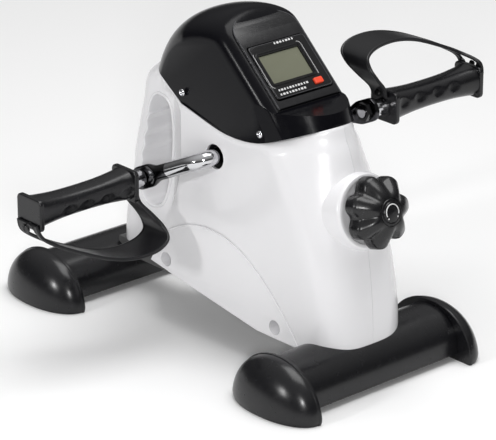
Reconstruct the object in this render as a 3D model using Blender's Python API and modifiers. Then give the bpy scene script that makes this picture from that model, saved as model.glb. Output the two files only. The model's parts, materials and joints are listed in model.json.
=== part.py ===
"""Pedal exerciser: a small under-desk pedal bike with a casing, a meter, a tension knob and strapped pedals.

Metres, +Z up.  The origin is on the floor, midway between the two feet.  The user sits on the -Y side.
"""

import math

import bmesh
import bpy
from mathutils import Matrix, Vector

GAP = 0.0003                    # gap left between pieces that touch

# Crank and drive
CRANK_Y, CRANK_Z = -0.027, 0.190
CRANK_RADIUS = 0.080            # from the crank axis to a pedal axis
CRANK_DROOP = math.radians(25.5)  # the left arm points rearwards and this far below level
BAR_RADIUS = 0.0075
BAR_BEND_X = 0.066              # where the bent bar's arms start
EYE_X = 0.076                   # middle of the flattened arm ends
EYE_THICKNESS = 0.005
WHEEL_RADIUS = 0.080
RIM_HALF_WIDTH = 0.0065         # of the part of the rim that the brake rubs on
BELT_TRACK_RADIUS = 0.077
BELT_LOW_X, BELT_HIGH_X = 0.0080, 0.0150
FLYWHEEL_Y, FLYWHEEL_Z = -0.090, 0.098
FLYWHEEL_RADIUS = 0.045
SMALL_PULLEY_RADIUS = 0.013

# Feet
FOOT_Y = 0.168                  # front foot at -FOOT_Y, rear foot at +FOOT_Y
FOOT_HALF_LENGTH = 0.0945       # of the straight bar, up to the end caps
BAR_HALF_DEPTH = 0.0367
BAR_BOTTOM, BAR_TOP = 0.007, 0.046
CAP_HALF_DEPTH, CAP_HEIGHT, CAP_BULGE = 0.055, 0.050, 0.0315
TUBE_BOTTOM, TUBE_TOP, TUBE_HALF_DEPTH = 0.014, 0.041, 0.015
TUBE_HALF_LENGTH = 0.108
RAIL_BOTTOM, RAIL_TOP, RAIL_HALF_WIDTH = 0.033, 0.049, 0.0195
STEEL_WALL = 0.002

# Casing
HALF_WIDTH = 0.050
TAIL_HALF_WIDTH = 0.0235
SHELL_WALL = 0.0025
RIDGE_FOOT_Y = -0.170           # the two front corners at the bottom
NOSE_FOOT_Y = -0.1885           # middle of the nose at the bottom
DOME_RADIUS = 0.134             # the top cover is round about the crank axis
DOME_CROWN = 0.024              # fall of the dome from its middle to its sides
SLOPE_HALF_WIDTH, SLOPE_SHOULDER = 0.030, 0.020  # flat part of the slope, and the fall beside it
LEDGE_SHOULDER = 0.009
DOME_WALL = 0.003
COVER_FRONT_Y, COVER_REAR_Y = -0.106, 0.058  # ends of its curved lower edge
COVER_TAPER_Y = 0.020           # behind this the cover narrows towards the handle
NOSE_LIP_SLOPE = 0.38           # rise of the cover's lower edge towards the middle of the nose
REAR_ANGLE = math.radians(27.0)  # where the dome ends behind, from level
SLOPE_ANGLE = math.radians(42.4)  # of the console face, falling towards the user
SLOPE_FOOT_Y, SLOPE_FOOT_Z = -0.094, 0.257
LEDGE_FRONT_Y, LEDGE_CORNER_Y, LEDGE_CORNER_X = -0.1435, -0.106, 0.0445
CRANK_HOLE_RADIUS = 0.012
FLARE_FOOT_Z = 0.217            # above this the tail widens to meet the top cover
MIDDLE_OVERRUN = 0.001          # the skin runs this far past the middle before it is cut there
NOSE_TOP_Z = 0.236              # height whose plan outline the nose keeps along the cover's edge
SIDE_TOP_Y = 0.023              # rear end of the flat side along the cover's edge
TAIL_ROUND = 0.022              # rounding of the handle behind
TAIL_BOTTOM_Z = 0.050
BOTTOM_LOW_Z, BOTTOM_HIGH_Z = 0.034, 0.060  # the casing's lower edge stays between these
BOTTOM_Y, BOTTOM_Z, BOTTOM_SLOPE = -0.125, 0.0286, 0.147  # a point on that edge, and its rise
# Rear edge of the handle: height, and place along the machine
TAIL_PROFILE = ((0.048, 0.151), (0.079, 0.149), (0.124, 0.138), (0.150, 0.134), (0.188, 0.1255),
                (0.204, 0.1215), (0.218, 0.120), (0.225, 0.117), (0.232, 0.112), (0.240, 0.104))
# Where the flaring tail meets the cover: place along the machine, and height
TAIL_TOP = ((0.042, 0.2468), (0.058, 0.2586), (0.074, 0.2550), (0.087, 0.2520), (0.0925, 0.2508))
# Outline of the opening behind the handle's grip, as places along the machine and heights
HAND_HOLE = ((0.0735, 0.214), (0.067, 0.205), (0.0640, 0.180), (0.0665, 0.148), (0.074, 0.118),
             (0.083, 0.104), (0.096, 0.100), (0.107, 0.106), (0.1125, 0.122), (0.108, 0.152),
             (0.101, 0.182), (0.095, 0.205), (0.086, 0.215))
# Screws through each side of the casing and of the top cover, as places and heights
SHELL_SCREWS = ((-0.1107, 0.0455), (0.043, 0.066))
DOME_SCREWS = ((0.0213, 0.2395), (-0.0864, 0.2276))
SHELL_POST_RADIUS, SHELL_RECESS_RADIUS = 0.0088, 0.0072
SHELL_RECESS_X = 0.0340         # floor of a screw recess, from the middle

# Tension knob, on an axis square to the nose
KNOB_FOOT = Vector((0.0, -0.1712, 0.1655))
KNOB_TILT = math.radians(15.0)
KNOB_AXIS = Vector((0.0, -math.cos(KNOB_TILT), math.sin(KNOB_TILT)))
KNOB_RADIUS, KNOB_LOBES, LOBE_DEPTH = 0.0315, 7, 0.0025
BOSS_RADIUS = 0.0355

# Meter, given across (X) and along the slope from its middle
METER_HALF = Vector((0.0325, 0.02975))
METER_MIDDLE_V = 0.0315         # distance up the slope from its foot
METER_DEPTH = 0.014
PANEL_THICKNESS = 0.0025
PANEL_HALF_WIDTH, PANEL_LENGTH, PANEL_ARCH_RISE = 0.036, 0.094, 0.022
LCD_HALF = Vector((0.024, 0.0155))
LCD_V = 0.0015
BUTTON_HALF = Vector((0.0055, 0.004))
BUTTON_U, BUTTON_V = 0.022, -0.0225

# Pedals, measured outwards along X and from the pedal axis
PEDAL_INNER, PEDAL_OUTER = 0.0955, 0.212
PLATE_THICKNESS = 0.005
PLATE_HALF_Y, PLATE_HALF_Z = 0.0175, 0.0155
SPINDLE_RADIUS = 0.0045
STRAP_THICKNESS = 0.0025
# Strap: distance out, height, lean and width at the points its middle line passes
STRAP_LINE = (
    (0.0935, 0.0095, 0.003, 0.018), (0.0920, 0.0180, 0.005, 0.021), (0.0860, 0.0280, 0.012, 0.027),
    (0.0825, 0.0380, 0.021, 0.033), (0.0860, 0.0465, 0.029, 0.036), (0.1020, 0.0520, 0.033, 0.036),
    (0.1270, 0.0530, 0.033, 0.034), (0.1530, 0.0480, 0.030, 0.030), (0.1780, 0.0385, 0.022, 0.025),
    (0.2000, 0.0275, 0.014, 0.021), (0.2125, 0.0190, 0.006, 0.020), (0.2142, 0.0080, 0.003, 0.018),
)

COLOURS = {
    "white_plastic": ((0.86, 0.86, 0.88), 0.25, 0.0),
    "black_satin": ((0.03, 0.03, 0.032), 0.35, 0.0),
    "black_gloss": ((0.015, 0.015, 0.017), 0.12, 0.0),
    "chrome": ((0.75, 0.75, 0.77), 0.12, 1.0),
    "steel": ((0.45, 0.45, 0.47), 0.4, 1.0),
    "frame_paint": ((0.04, 0.04, 0.045), 0.5, 0.0),
    "pulley_plastic": ((0.12, 0.12, 0.13), 0.5, 0.0),
    "cast_iron": ((0.15, 0.15, 0.16), 0.55, 1.0),
    "rubber": ((0.03, 0.03, 0.03), 0.8, 0.0),
    "felt": ((0.25, 0.24, 0.22), 0.95, 0.0),
    "lcd_glass": ((0.30, 0.32, 0.27), 0.2, 0.0),
    "button_red": ((0.85, 0.10, 0.04), 0.35, 0.0),
}


# ---------------------------------------------------------------- scene and materials

def clear_scene():
    for old in list(bpy.data.objects):
        bpy.data.objects.remove(old, do_unlink=True)


def make_collection(name):
    collection = bpy.data.collections.new(name)
    bpy.context.scene.collection.children.link(collection)
    return collection


def make_materials():
    made = {}
    for name, (colour, roughness, metallic) in COLOURS.items():
        material = bpy.data.materials.new(name)
        material.use_nodes = True
        shader = material.node_tree.nodes["Principled BSDF"]
        shader.inputs["Base Color"].default_value = (*colour, 1.0)
        shader.inputs["Roughness"].default_value = roughness
        shader.inputs["Metallic"].default_value = metallic
        made[name] = material
    return made


# ---------------------------------------------------------------- shape tools

def add_part(name, mesh, material):
    """Put a mesh in the model as the named piece."""
    mesh.name = name
    mesh.materials.clear()
    mesh.materials.append(MATERIALS[material])
    mesh.set_sharp_from_angle(angle=math.radians(35))
    part = bpy.data.objects.new(name, mesh)
    PARTS.objects.link(part)
    return part


def finish_mesh(bm, name):
    """Weld, turn the faces outwards and return the mesh."""
    bmesh.ops.remove_doubles(bm, verts=bm.verts, dist=1e-6)
    bmesh.ops.recalc_face_normals(bm, faces=bm.faces)
    mesh = bpy.data.meshes.new(name)
    bm.to_mesh(mesh)
    bm.free()
    mesh.shade_smooth()
    return mesh


def box_mesh(low, high):
    bm = bmesh.new()
    size = Vector(high) - Vector(low)
    middle = (Vector(high) + Vector(low)) / 2
    place = Matrix.Translation(middle) @ Matrix.Diagonal((*size, 1.0))
    bmesh.ops.create_cube(bm, size=1.0, matrix=place)
    return finish_mesh(bm, "box")


def rod_mesh(start, end, radius, sides=24, end_radius=None):
    """A cylinder, or a cone frustum, between two points."""
    start, end = Vector(start), Vector(end)
    along = end - start
    place = Matrix.Translation((start + end) / 2) @ along.to_track_quat("Z", "Y").to_matrix().to_4x4()
    bm = bmesh.new()
    bmesh.ops.create_cone(bm, cap_ends=True, segments=sides, radius1=radius,
                          radius2=radius if end_radius is None else end_radius,
                          depth=along.length, matrix=place)
    return finish_mesh(bm, "rod")


def ellipsoid_mesh(middle, radii):
    bm = bmesh.new()
    place = Matrix.Translation(Vector(middle)) @ Matrix.Diagonal((*radii, 1.0))
    bmesh.ops.create_uvsphere(bm, u_segments=28, v_segments=16, radius=1.0, matrix=place)
    return finish_mesh(bm, "ellipsoid")


def evaluated_mesh(source):
    """The mesh an object shows with its modifiers, in world space; the object is removed."""
    bpy.context.view_layer.update()
    shown = source.evaluated_get(bpy.context.evaluated_depsgraph_get())
    mesh = bpy.data.meshes.new_from_object(shown)
    mesh.transform(source.matrix_world)
    bpy.data.objects.remove(source, do_unlink=True)
    return mesh


def welded(mesh):
    bm = bmesh.new()
    bm.from_mesh(mesh)
    return finish_mesh(bm, mesh.name)


def curve_object(splines, dimensions, cyclic):
    curve = bpy.data.curves.new("curve", "CURVE")
    curve.dimensions = dimensions
    for points in splines:
        spline = curve.splines.new("POLY")
        spline.points.add(len(points) - 1)
        for target, point in zip(spline.points, points):
            target.co = (*point, 1.0)
        spline.use_cyclic_u = cyclic
    holder = bpy.data.objects.new("curve", curve)
    PARTS.objects.link(holder)
    return holder


def side_plate_mesh(outlines, x_low, x_high):
    """Flat outlines in (Y, Z), the first solid and the others holes, extruded along X."""
    splines = [[(y, z, 0.0) for y, z in outline] for outline in outlines]
    holder = curve_object(splines, "2D", True)
    holder.data.fill_mode = "BOTH"
    holder.data.extrude = (x_high - x_low) / 2
    swap = Matrix(((0, 0, 1, 0), (1, 0, 0, 0), (0, 1, 0, 0), (0, 0, 0, 1)))
    holder.matrix_world = Matrix.Translation(((x_low + x_high) / 2, 0, 0)) @ swap
    return welded(evaluated_mesh(holder))


def plate_mesh(outlines, place, z_low, z_high):
    """Flat outlines in the local XY plane of a placement, extruded along its local Z."""
    splines = [[(x, y, 0.0) for x, y in outline] for outline in outlines]
    holder = curve_object(splines, "2D", True)
    holder.data.fill_mode = "BOTH"
    holder.data.extrude = (z_high - z_low) / 2
    holder.matrix_world = place @ Matrix.Translation((0, 0, (z_low + z_high) / 2))
    return welded(evaluated_mesh(holder))


def tube_mesh(points, radius, resolution=2):
    holder = curve_object([points], "3D", False)
    holder.data.bevel_depth = radius
    holder.data.bevel_resolution = resolution
    holder.data.use_fill_caps = True
    return welded(evaluated_mesh(holder))


def turned_mesh(profile, foot, axis, steps=32, closed=False):
    """A profile of (radius, height) turned about an axis from its foot point."""
    bm = bmesh.new()
    corners = [bm.verts.new((radius, 0.0, height)) for radius, height in profile]
    for first, second in zip(corners, corners[1:]):
        bm.edges.new((first, second))
    if closed:
        bm.edges.new((corners[-1], corners[0]))
    mesh = bpy.data.meshes.new("profile")
    bm.to_mesh(mesh)
    bm.free()
    holder = bpy.data.objects.new("profile", mesh)
    PARTS.objects.link(holder)
    screw = holder.modifiers.new("Screw", "SCREW")
    screw.steps = screw.render_steps = steps
    screw.use_merge_vertices = True
    screw.merge_threshold = 1e-5
    holder.matrix_world = (Matrix.Translation(Vector(foot))
                           @ Vector(axis).to_track_quat("Z", "Y").to_matrix().to_4x4())
    return welded(evaluated_mesh(holder))


def loft_mesh(rings):
    """A closed body through rings with the same number of points; the end rings are its flat ends."""
    bm = bmesh.new()
    loops = [[bm.verts.new(point) for point in ring] for ring in rings]
    count = len(loops[0])
    for lower, upper in zip(loops, loops[1:]):
        for i in range(count):
            j = (i + 1) % count
            bm.faces.new((lower[i], lower[j], upper[j], upper[i]))
    bm.faces.new(loops[0])
    bm.faces.new(loops[-1])
    return finish_mesh(bm, "loft")


def skin_mesh(columns, thickness):
    """An open surface through a grid of points, thickened inwards."""
    bm = bmesh.new()
    grid = [[bm.verts.new(point) for point in column] for column in columns]
    for left, right in zip(grid, grid[1:]):
        for k in range(len(left) - 1):
            bm.faces.new((left[k], right[k], right[k + 1], left[k + 1]))
    mesh = bpy.data.meshes.new("skin")
    bm.to_mesh(mesh)
    bm.free()
    holder = bpy.data.objects.new("skin", mesh)
    PARTS.objects.link(holder)
    solidify = holder.modifiers.new("Solidify", "SOLIDIFY")
    solidify.thickness = thickness
    solidify.offset = -1.0
    solidify.use_even_offset = True
    return welded(evaluated_mesh(holder))


def boolean(mesh, tool, operation):
    """The mesh with another mesh cut away, added or kept in common."""
    body = bpy.data.objects.new("body", mesh)
    PARTS.objects.link(body)
    cutter = bpy.data.objects.new("cutter", tool)
    CUTTERS.objects.link(cutter)
    cutter.hide_render = True
    cutter.display_type = "WIRE"
    modifier = body.modifiers.new("Boolean", "BOOLEAN")
    modifier.operation = operation
    modifier.solver = "EXACT"
    modifier.object = cutter
    result = evaluated_mesh(body)
    bpy.data.objects.remove(cutter, do_unlink=True)
    return result


def cut(mesh, *tools):
    for tool in tools:
        mesh = boolean(mesh, tool, "DIFFERENCE")
    return mesh


def joined(mesh, *tools):
    for tool in tools:
        mesh = boolean(mesh, tool, "UNION")
    return mesh


def mirrored_x(mesh):
    """A copy on the other side of the middle plane."""
    bm = bmesh.new()
    bm.from_mesh(mesh)
    bmesh.ops.scale(bm, vec=(-1.0, 1.0, 1.0), verts=bm.verts)
    return finish_mesh(bm, mesh.name)


def arc(middle_y, middle_z, radius, start, end, steps):
    """Points on an arc in (Y, Z), angles in radians from +Y towards +Z."""
    angles = [start + (end - start) * i / steps for i in range(steps + 1)]
    return [(middle_y + radius * math.cos(a), middle_z + radius * math.sin(a)) for a in angles]


def circle(middle_y, middle_z, radius, steps=20):
    return arc(middle_y, middle_z, radius, 0.0, math.tau, steps)[:-1]


# ---------------------------------------------------------------- outlines of the casing

def cover_edge_z(y):
    """Height of the line where the top cover meets the casing, rising round the nose."""
    if y < COVER_FRONT_Y:
        return cover_edge_z(COVER_FRONT_Y) + NOSE_LIP_SLOPE * (COVER_FRONT_Y - y)
    return 0.215 + 3.6 * (y + 0.052) ** 2


def cover_taper(y):
    """Width of the top cover at a place along it, as a share of its full width."""
    behind = max(y - COVER_TAPER_Y, 0.0) / 0.073
    return 1.0 - 0.5 * behind ** 1.1


def ridge_y(z):
    """The casing's front corners: upright at the foot, leaning back above."""
    return RIDGE_FOOT_Y + 0.066 * (max(z - 0.050, 0.0) / 0.181) ** 1.8


def ridge_x(z):
    return 0.049 - 0.0045 * (max(z - 0.050, 0.0) / 0.181) ** 2


def nose_y(z):
    return NOSE_FOOT_Y + 0.0395 * (max(z - 0.033, 0.0) / 0.199) ** 2.1


def side_rear_y(z):
    """Rear edge of the flat side, which sweeps back towards the floor."""
    drop = max(0.170 - z, 0.0) / 0.113
    return 0.021 + 0.047 * drop ** 1.4


def tail_y(z):
    """Rear edge of the handle, through the points of TAIL_PROFILE."""
    previous = TAIL_PROFILE[0]
    for corner in TAIL_PROFILE[1:]:
        if z <= corner[0]:
            share = (z - previous[0]) / (corner[0] - previous[0])
            return previous[1] + max(share, 0.0) * (corner[1] - previous[1])
        previous = corner
    return previous[1]


def plan_half(z):
    """Half of the casing's plan outline at a height, from the nose round the left side to the tail."""
    ridge, nose, rear, tail = ridge_y(z), nose_y(z), side_rear_y(z), tail_y(z)
    points = []
    bluntness = 4.0 - 2.0 * min(max(z - 0.050, 0.0) / 0.150, 1.0)
    for i in range(6):
        across = math.sin(i / 5 * math.pi / 2)
        points.append((-ridge_x(z) * across, nose + (ridge - nose) * across ** bluntness))
    side_start = ridge + 0.014
    points.append((-HALF_WIDTH, side_start))
    for i in range(1, 6):
        points.append((-HALF_WIDTH, side_start + (rear - side_start) * i / 5))
    strip_end = max(0.062, rear + 0.022)
    points.append((-TAIL_HALF_WIDTH, strip_end))
    points.append((-TAIL_HALF_WIDTH, (strip_end + tail - TAIL_ROUND) / 2))
    points.append((-TAIL_HALF_WIDTH, tail - TAIL_ROUND))
    points.append((-TAIL_HALF_WIDTH * 0.70, tail - TAIL_ROUND * 0.42))
    points.append((0.0, tail))
    return points


def casing_top_points():
    """Where the casing's edge meets the top cover, one point for each plan point."""
    top = []
    for x, y in plan_half(NOSE_TOP_Z)[:7]:
        top.append((x, y, cover_edge_z(y)))
    start = top[-1][1]
    for i in range(1, 6):
        y = start + (SIDE_TOP_Y - start) * i / 5
        top.append((-HALF_WIDTH, y, cover_edge_z(y)))
    for y, z in TAIL_TOP[:-1]:
        top.append((-HALF_WIDTH * cover_taper(y), y, z))
    top.append((0.0, *TAIL_TOP[-1]))
    return [(x, y, z - 2 * GAP) for x, y, z in top]


def casing_bottom_z(index, y):
    """Height of the casing's lower edge at a plan point, which slopes up towards the rear."""
    if index > 11:
        return TAIL_BOTTOM_Z
    return min(max(BOTTOM_Z + BOTTOM_SLOPE * (y - BOTTOM_Y), BOTTOM_LOW_Z), BOTTOM_HIGH_Z)


def column_heights(z_low, z_top):
    """Heights of a column's points: even up to the flare below the top cover, closer above it."""
    z_break = min(FLARE_FOOT_Z, z_top - 0.010)
    lower = [z_low + (z_break - z_low) * k / 6 for k in range(6)]
    return z_break, lower + [z_break + (z_top - z_break) * k / 4 for k in range(5)]


def half_skin():
    """The left casing half as a skin: nose, flat side, and the tail flaring out to the top cover."""
    top = casing_top_points()
    columns = []
    for index, (x_top, y_top, z_top) in enumerate(top):
        z_low = casing_bottom_z(index, plan_half(0.045)[index][1])
        z_break, heights = column_heights(z_low, z_top)
        column = []
        for z in heights:
            x, y = plan_half(z)[index]
            flare = max((z - z_break) / (z_top - z_break), 0.0) ** 1.6
            column.append((x + (x_top - x) * flare, y + (y_top - y) * flare, z))
        if index in (0, len(top) - 1):
            column = [(MIDDLE_OVERRUN, y, z) for _, y, z in column]
        columns.append(column)
    return skin_mesh(columns[::-1], SHELL_WALL)


def grown(outline, distance):
    """A convex outline moved outwards from its middle by about a distance."""
    middle_y = sum(y for y, _ in outline) / len(outline)
    middle_z = sum(z for _, z in outline) / len(outline)
    moved = []
    for y, z in outline:
        away = Vector((y - middle_y, z - middle_z))
        away += away.normalized() * distance
        moved.append((middle_y + away.x, middle_z + away.y))
    return moved


def foot_section(grow=0.0):
    """Outline of a foot bar in (Y, Z) about its middle: flat below, rounded above."""
    half, height = BAR_HALF_DEPTH + grow, BAR_TOP - BAR_BOTTOM + grow
    return [(half * math.cos(a), BAR_BOTTOM + height * math.sin(a) ** 0.8)
            for a in (math.pi * i / 14 for i in range(15))]


# ---------------------------------------------------------------- casing

def shell_half():
    shell = half_skin()
    collar = side_plate_mesh([grown(HAND_HOLE, SHELL_WALL)], -TAIL_HALF_WIDTH + 0.0006, 0.010)
    hole = side_plate_mesh([HAND_HOLE], -0.070, 0.010)
    shell = cut(joined(shell, collar), hole)
    boss = rod_mesh(KNOB_FOOT - KNOB_AXIS * 0.024, KNOB_FOOT + KNOB_AXIS * 0.008, BOSS_RADIUS, 36)
    hollow = rod_mesh(KNOB_FOOT - KNOB_AXIS * 0.030, KNOB_FOOT + KNOB_AXIS * 0.004, BOSS_RADIUS - 0.003, 36)
    shell = joined(shell, boss)
    screw_bore = rod_mesh(KNOB_FOOT - KNOB_AXIS * 0.040, KNOB_FOOT + KNOB_AXIS * 0.020, 0.0052, 20)
    crank_bore = rod_mesh((-0.070, CRANK_Y, CRANK_Z), (-0.030, CRANK_Y, CRANK_Z), CRANK_HOLE_RADIUS)
    shell = cut(shell, hollow, screw_bore, crank_bore)
    for y, z in SHELL_SCREWS:
        post = rod_mesh((-HALF_WIDTH + 0.001, y, z), (-0.0285, y, z), SHELL_POST_RADIUS)
        recess = rod_mesh((-0.060, y, z), (-SHELL_RECESS_X, y, z), SHELL_RECESS_RADIUS)
        bore = rod_mesh((-0.060, y, z), (-0.020, y, z), 0.0025, 12)
        shell = cut(joined(shell, post), recess, bore)
    feet = [side_plate_mesh([[(y + middle, z) for y, z in foot_section(0.0006)]], -0.2, 0.2)
            for middle in (-FOOT_Y, FOOT_Y)]
    edge = [(y, z - GAP) for y, z in cover_edge()]
    under_cover = side_plate_mesh([[(-0.3, 0.4)] + edge + [(0.3, 0.2), (0.3, 0.4)]], -0.2, 0.2)
    right_half = box_mesh((-GAP / 2, -0.4, -0.1), (0.2, 0.4, 0.5))
    return cut(shell, *feet, under_cover, right_half)


def build_shells():
    left = shell_half()
    right = mirrored_x(left)
    add_part("left_shell", left, "white_plastic")
    add_part("right_shell", right, "white_plastic")


def dome_outline(across, wall):
    """Side outline of the top cover in (Y, Z) at a distance across it, or of its inside."""
    crown = DOME_CROWN * (1 - math.sqrt(1 - (across / HALF_WIDTH) ** 2))
    beside = max(across - SLOPE_HALF_WIDTH, 0.0) / (HALF_WIDTH - SLOPE_HALF_WIDTH)
    shoulder = 1 - math.sqrt(1 - beside ** 2)
    radius = DOME_RADIUS - crown - wall
    lift = SLOPE_SHOULDER * shoulder + wall
    normal = Vector((-math.sin(SLOPE_ANGLE), math.cos(SLOPE_ANGLE)))
    foot = Vector((SLOPE_FOOT_Y - CRANK_Y, SLOPE_FOOT_Z - CRANK_Z))
    reach = foot.dot(normal) - lift
    slope_meets = math.pi / 2 + SLOPE_ANGLE - math.acos(min(reach / radius, 1.0))
    ledge_z = SLOPE_FOOT_Z - LEDGE_SHOULDER * shoulder - wall
    outline = arc(CRANK_Y, CRANK_Z, radius, rear_angle(radius), slope_meets, 16)
    on_slope = foot - normal * lift
    down = (ledge_z - CRANK_Z - on_slope.y) / math.sin(SLOPE_ANGLE)
    slope_end = on_slope + Vector((math.cos(SLOPE_ANGLE), math.sin(SLOPE_ANGLE))) * down
    outline.append((CRANK_Y + slope_end.x, CRANK_Z + slope_end.y))
    below = 0.010 if wall else 0.0
    outline.append((cover_edge()[0][0], ledge_z))
    outline += [(y, z - below) for y, z in cover_edge()[:-1]]
    return outline


def cover_edge():
    """The side line between the top cover and the casing, from front to rear, in (Y, Z)."""
    steps = 12
    line = [(LEDGE_FRONT_Y - 0.006, cover_edge_z(LEDGE_FRONT_Y - 0.006))]
    for i in range(steps + 1):
        y = COVER_FRONT_Y + (COVER_REAR_Y - COVER_FRONT_Y) * i / steps
        line.append((y, cover_edge_z(y)))
    return line + arc(CRANK_Y, CRANK_Z, DOME_RADIUS, REAR_ANGLE, REAR_ANGLE, 1)[:1]


def rear_angle(radius):
    """Where an arc of the dome meets the cover's short rear edge."""
    crank = Vector((CRANK_Y, CRANK_Z))
    low, high = (Vector(point) - crank for point in cover_edge()[-2:])
    share = (radius - low.length) / (high.length - low.length)
    meeting = low + (high - low) * min(max(share, 0.0), 1.0)
    return math.atan2(meeting.y, meeting.x)


def dome_body(wall):
    """The solid that the top cover's outside, or its inside, bounds."""
    steps = 5
    shares = [math.cos(math.pi / 2 * i / steps) for i in range(steps + 1)]
    shares += [-share for share in shares[-2::-1]]
    rings = []
    for share in shares:
        across = share * (HALF_WIDTH - wall)
        outline = dome_outline(abs(share) * HALF_WIDTH, wall)
        rings.append([(-across * cover_taper(y), y, z) for y, z in outline])
    body = loft_mesh(rings)
    corner_x, front = LEDGE_CORNER_X - wall, LEDGE_FRONT_Y + wall
    side = HALF_WIDTH - wall + 0.0004
    plan = [(-side, 0.150), (-side, LEDGE_CORNER_Y + 0.022)]
    for i in range(17):
        share = i / 8 - 1
        plan.append((corner_x * share, front + (LEDGE_CORNER_Y - front) * share ** 2))
    plan += [(side, LEDGE_CORNER_Y + 0.022), (side, 0.150)]
    plan_solid = plate_mesh([plan], Matrix.Identity(4), 0.150, 0.360)
    return boolean(body, plan_solid, "INTERSECT")


def slope_place():
    """Placement of the console face: X across, Y up the slope, Z out of the face, at its foot."""
    across = Vector((1.0, 0.0, 0.0))
    upslope = Vector((0.0, math.cos(SLOPE_ANGLE), math.sin(SLOPE_ANGLE)))
    out = across.cross(upslope)
    turn = Matrix((across, upslope, out)).transposed().to_4x4()
    return Matrix.Translation((0.0, SLOPE_FOOT_Y, SLOPE_FOOT_Z)) @ turn


def rectangle(middle_u, middle_v, half_u, half_v, corner=0.0):
    """A rectangle, its corners cut or rounded by an arc of four steps."""
    if not corner:
        return [(middle_u - half_u, middle_v - half_v), (middle_u + half_u, middle_v - half_v),
                (middle_u + half_u, middle_v + half_v), (middle_u - half_u, middle_v + half_v)]
    points = []
    for quarter in range(4):
        sign_u = (1, -1, -1, 1)[quarter]
        sign_v = (1, 1, -1, -1)[quarter]
        centre_u = middle_u + sign_u * (half_u - corner)
        centre_v = middle_v + sign_v * (half_v - corner)
        start = math.pi / 2 * quarter
        points += arc(centre_u, centre_v, corner, start, start + math.pi / 2, 4)
    return points


def build_top_cover():
    cover = cut(dome_body(0.0), dome_body(DOME_WALL))
    place = slope_place()
    window = plate_mesh([rectangle(0, METER_MIDDLE_V, METER_HALF.x + 0.0006, METER_HALF.y + 0.0006)],
                        place, -0.020, 0.020)
    cover = cut(cover, window)
    for side in (-1, 1):
        for y, z in DOME_SCREWS:
            cover = cut(cover, rod_mesh((side * 0.040, y, z), (side * 0.060, y, z), 0.0020, 12))
    add_part("top_cover", cover, "black_satin")


def build_console():
    place = slope_place()
    arch = [(-PANEL_HALF_WIDTH, GAP), (PANEL_HALF_WIDTH, GAP)]
    for i in range(13):
        turn = math.pi * i / 12
        arch.append((PANEL_HALF_WIDTH * math.cos(turn),
                     PANEL_LENGTH - PANEL_ARCH_RISE * (1 - math.sin(turn))))
    window = rectangle(0, METER_MIDDLE_V, METER_HALF.x + GAP, METER_HALF.y + GAP)
    panel = plate_mesh([arch, window], place, GAP, GAP + PANEL_THICKNESS)
    add_part("console_panel", panel, "black_gloss")


def build_meter():
    place = slope_place()
    middle = METER_MIDDLE_V
    top = PANEL_THICKNESS + 0.0012
    case = plate_mesh([rectangle(0, middle, METER_HALF.x, METER_HALF.y)], place, top - METER_DEPTH, top)
    lcd_pocket = plate_mesh([rectangle(0, middle + LCD_V, LCD_HALF.x, LCD_HALF.y)],
                            place, top - 0.0025, top + 0.01)
    button_well = plate_mesh([rectangle(BUTTON_U, middle + BUTTON_V, BUTTON_HALF.x, BUTTON_HALF.y)],
                             place, top - 0.0060, top + 0.01)
    add_part("meter_case", cut(case, lcd_pocket, button_well), "black_gloss")
    glass = plate_mesh([rectangle(0, middle + LCD_V, LCD_HALF.x - GAP, LCD_HALF.y - GAP)],
                       place, top - 0.0022, top - 0.0008)
    add_part("lcd_window", glass, "lcd_glass")
    button = plate_mesh([rectangle(BUTTON_U, middle + BUTTON_V, BUTTON_HALF.x - GAP, BUTTON_HALF.y - GAP)],
                        place, top - 0.0040, top + 0.0020)
    add_part("mode_button", button, "button_red")


def build_casing_screws():
    """Two screws in each side of the top cover and two in each side of the casing."""
    for side, word in ((-1, "left"), (1, "right")):
        for (y, z), end in zip(DOME_SCREWS, ("rear", "front")):
            face = HALF_WIDTH + GAP
            profile = [(0.0, 0.0018), (0.0022, 0.0016), (0.0035, 0.0), (0.0016, 0.0), (0.0016, -0.010),
                       (0.0, -0.010)]
            screw = turned_mesh(profile, (side * face, y, z), (side, 0, 0), 16)
            add_part(f"{word}_cover_screw_{end}", screw, "chrome")
        for (y, z), end in zip(SHELL_SCREWS, ("front", "rear")):
            profile = [(0.0, 0.0025), (0.0040, 0.0025), (0.0040, 0.0), (0.0020, 0.0), (0.0020, -0.0145),
                       (0.0, -0.0145)]
            screw = turned_mesh(profile, (side * (SHELL_RECESS_X + GAP), y, z), (side, 0, 0), 16)
            add_part(f"{word}_shell_screw_{end}", screw, "steel")


# ---------------------------------------------------------------- tension control

def knob_ring(distance, radius, lobe):
    """A lobed outline square to the knob's axis, at a distance along it."""
    up = Vector((1.0, 0.0, 0.0)).cross(KNOB_AXIS)
    points = []
    steps = KNOB_LOBES * 8
    for i in range(steps):
        turn = math.tau * i / steps
        reach = radius + lobe * math.cos(KNOB_LOBES * turn)
        across = Vector((1.0, 0.0, 0.0)) * math.cos(turn) + up * math.sin(turn)
        points.append(KNOB_FOOT + KNOB_AXIS * distance + across * reach)
    return points


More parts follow.
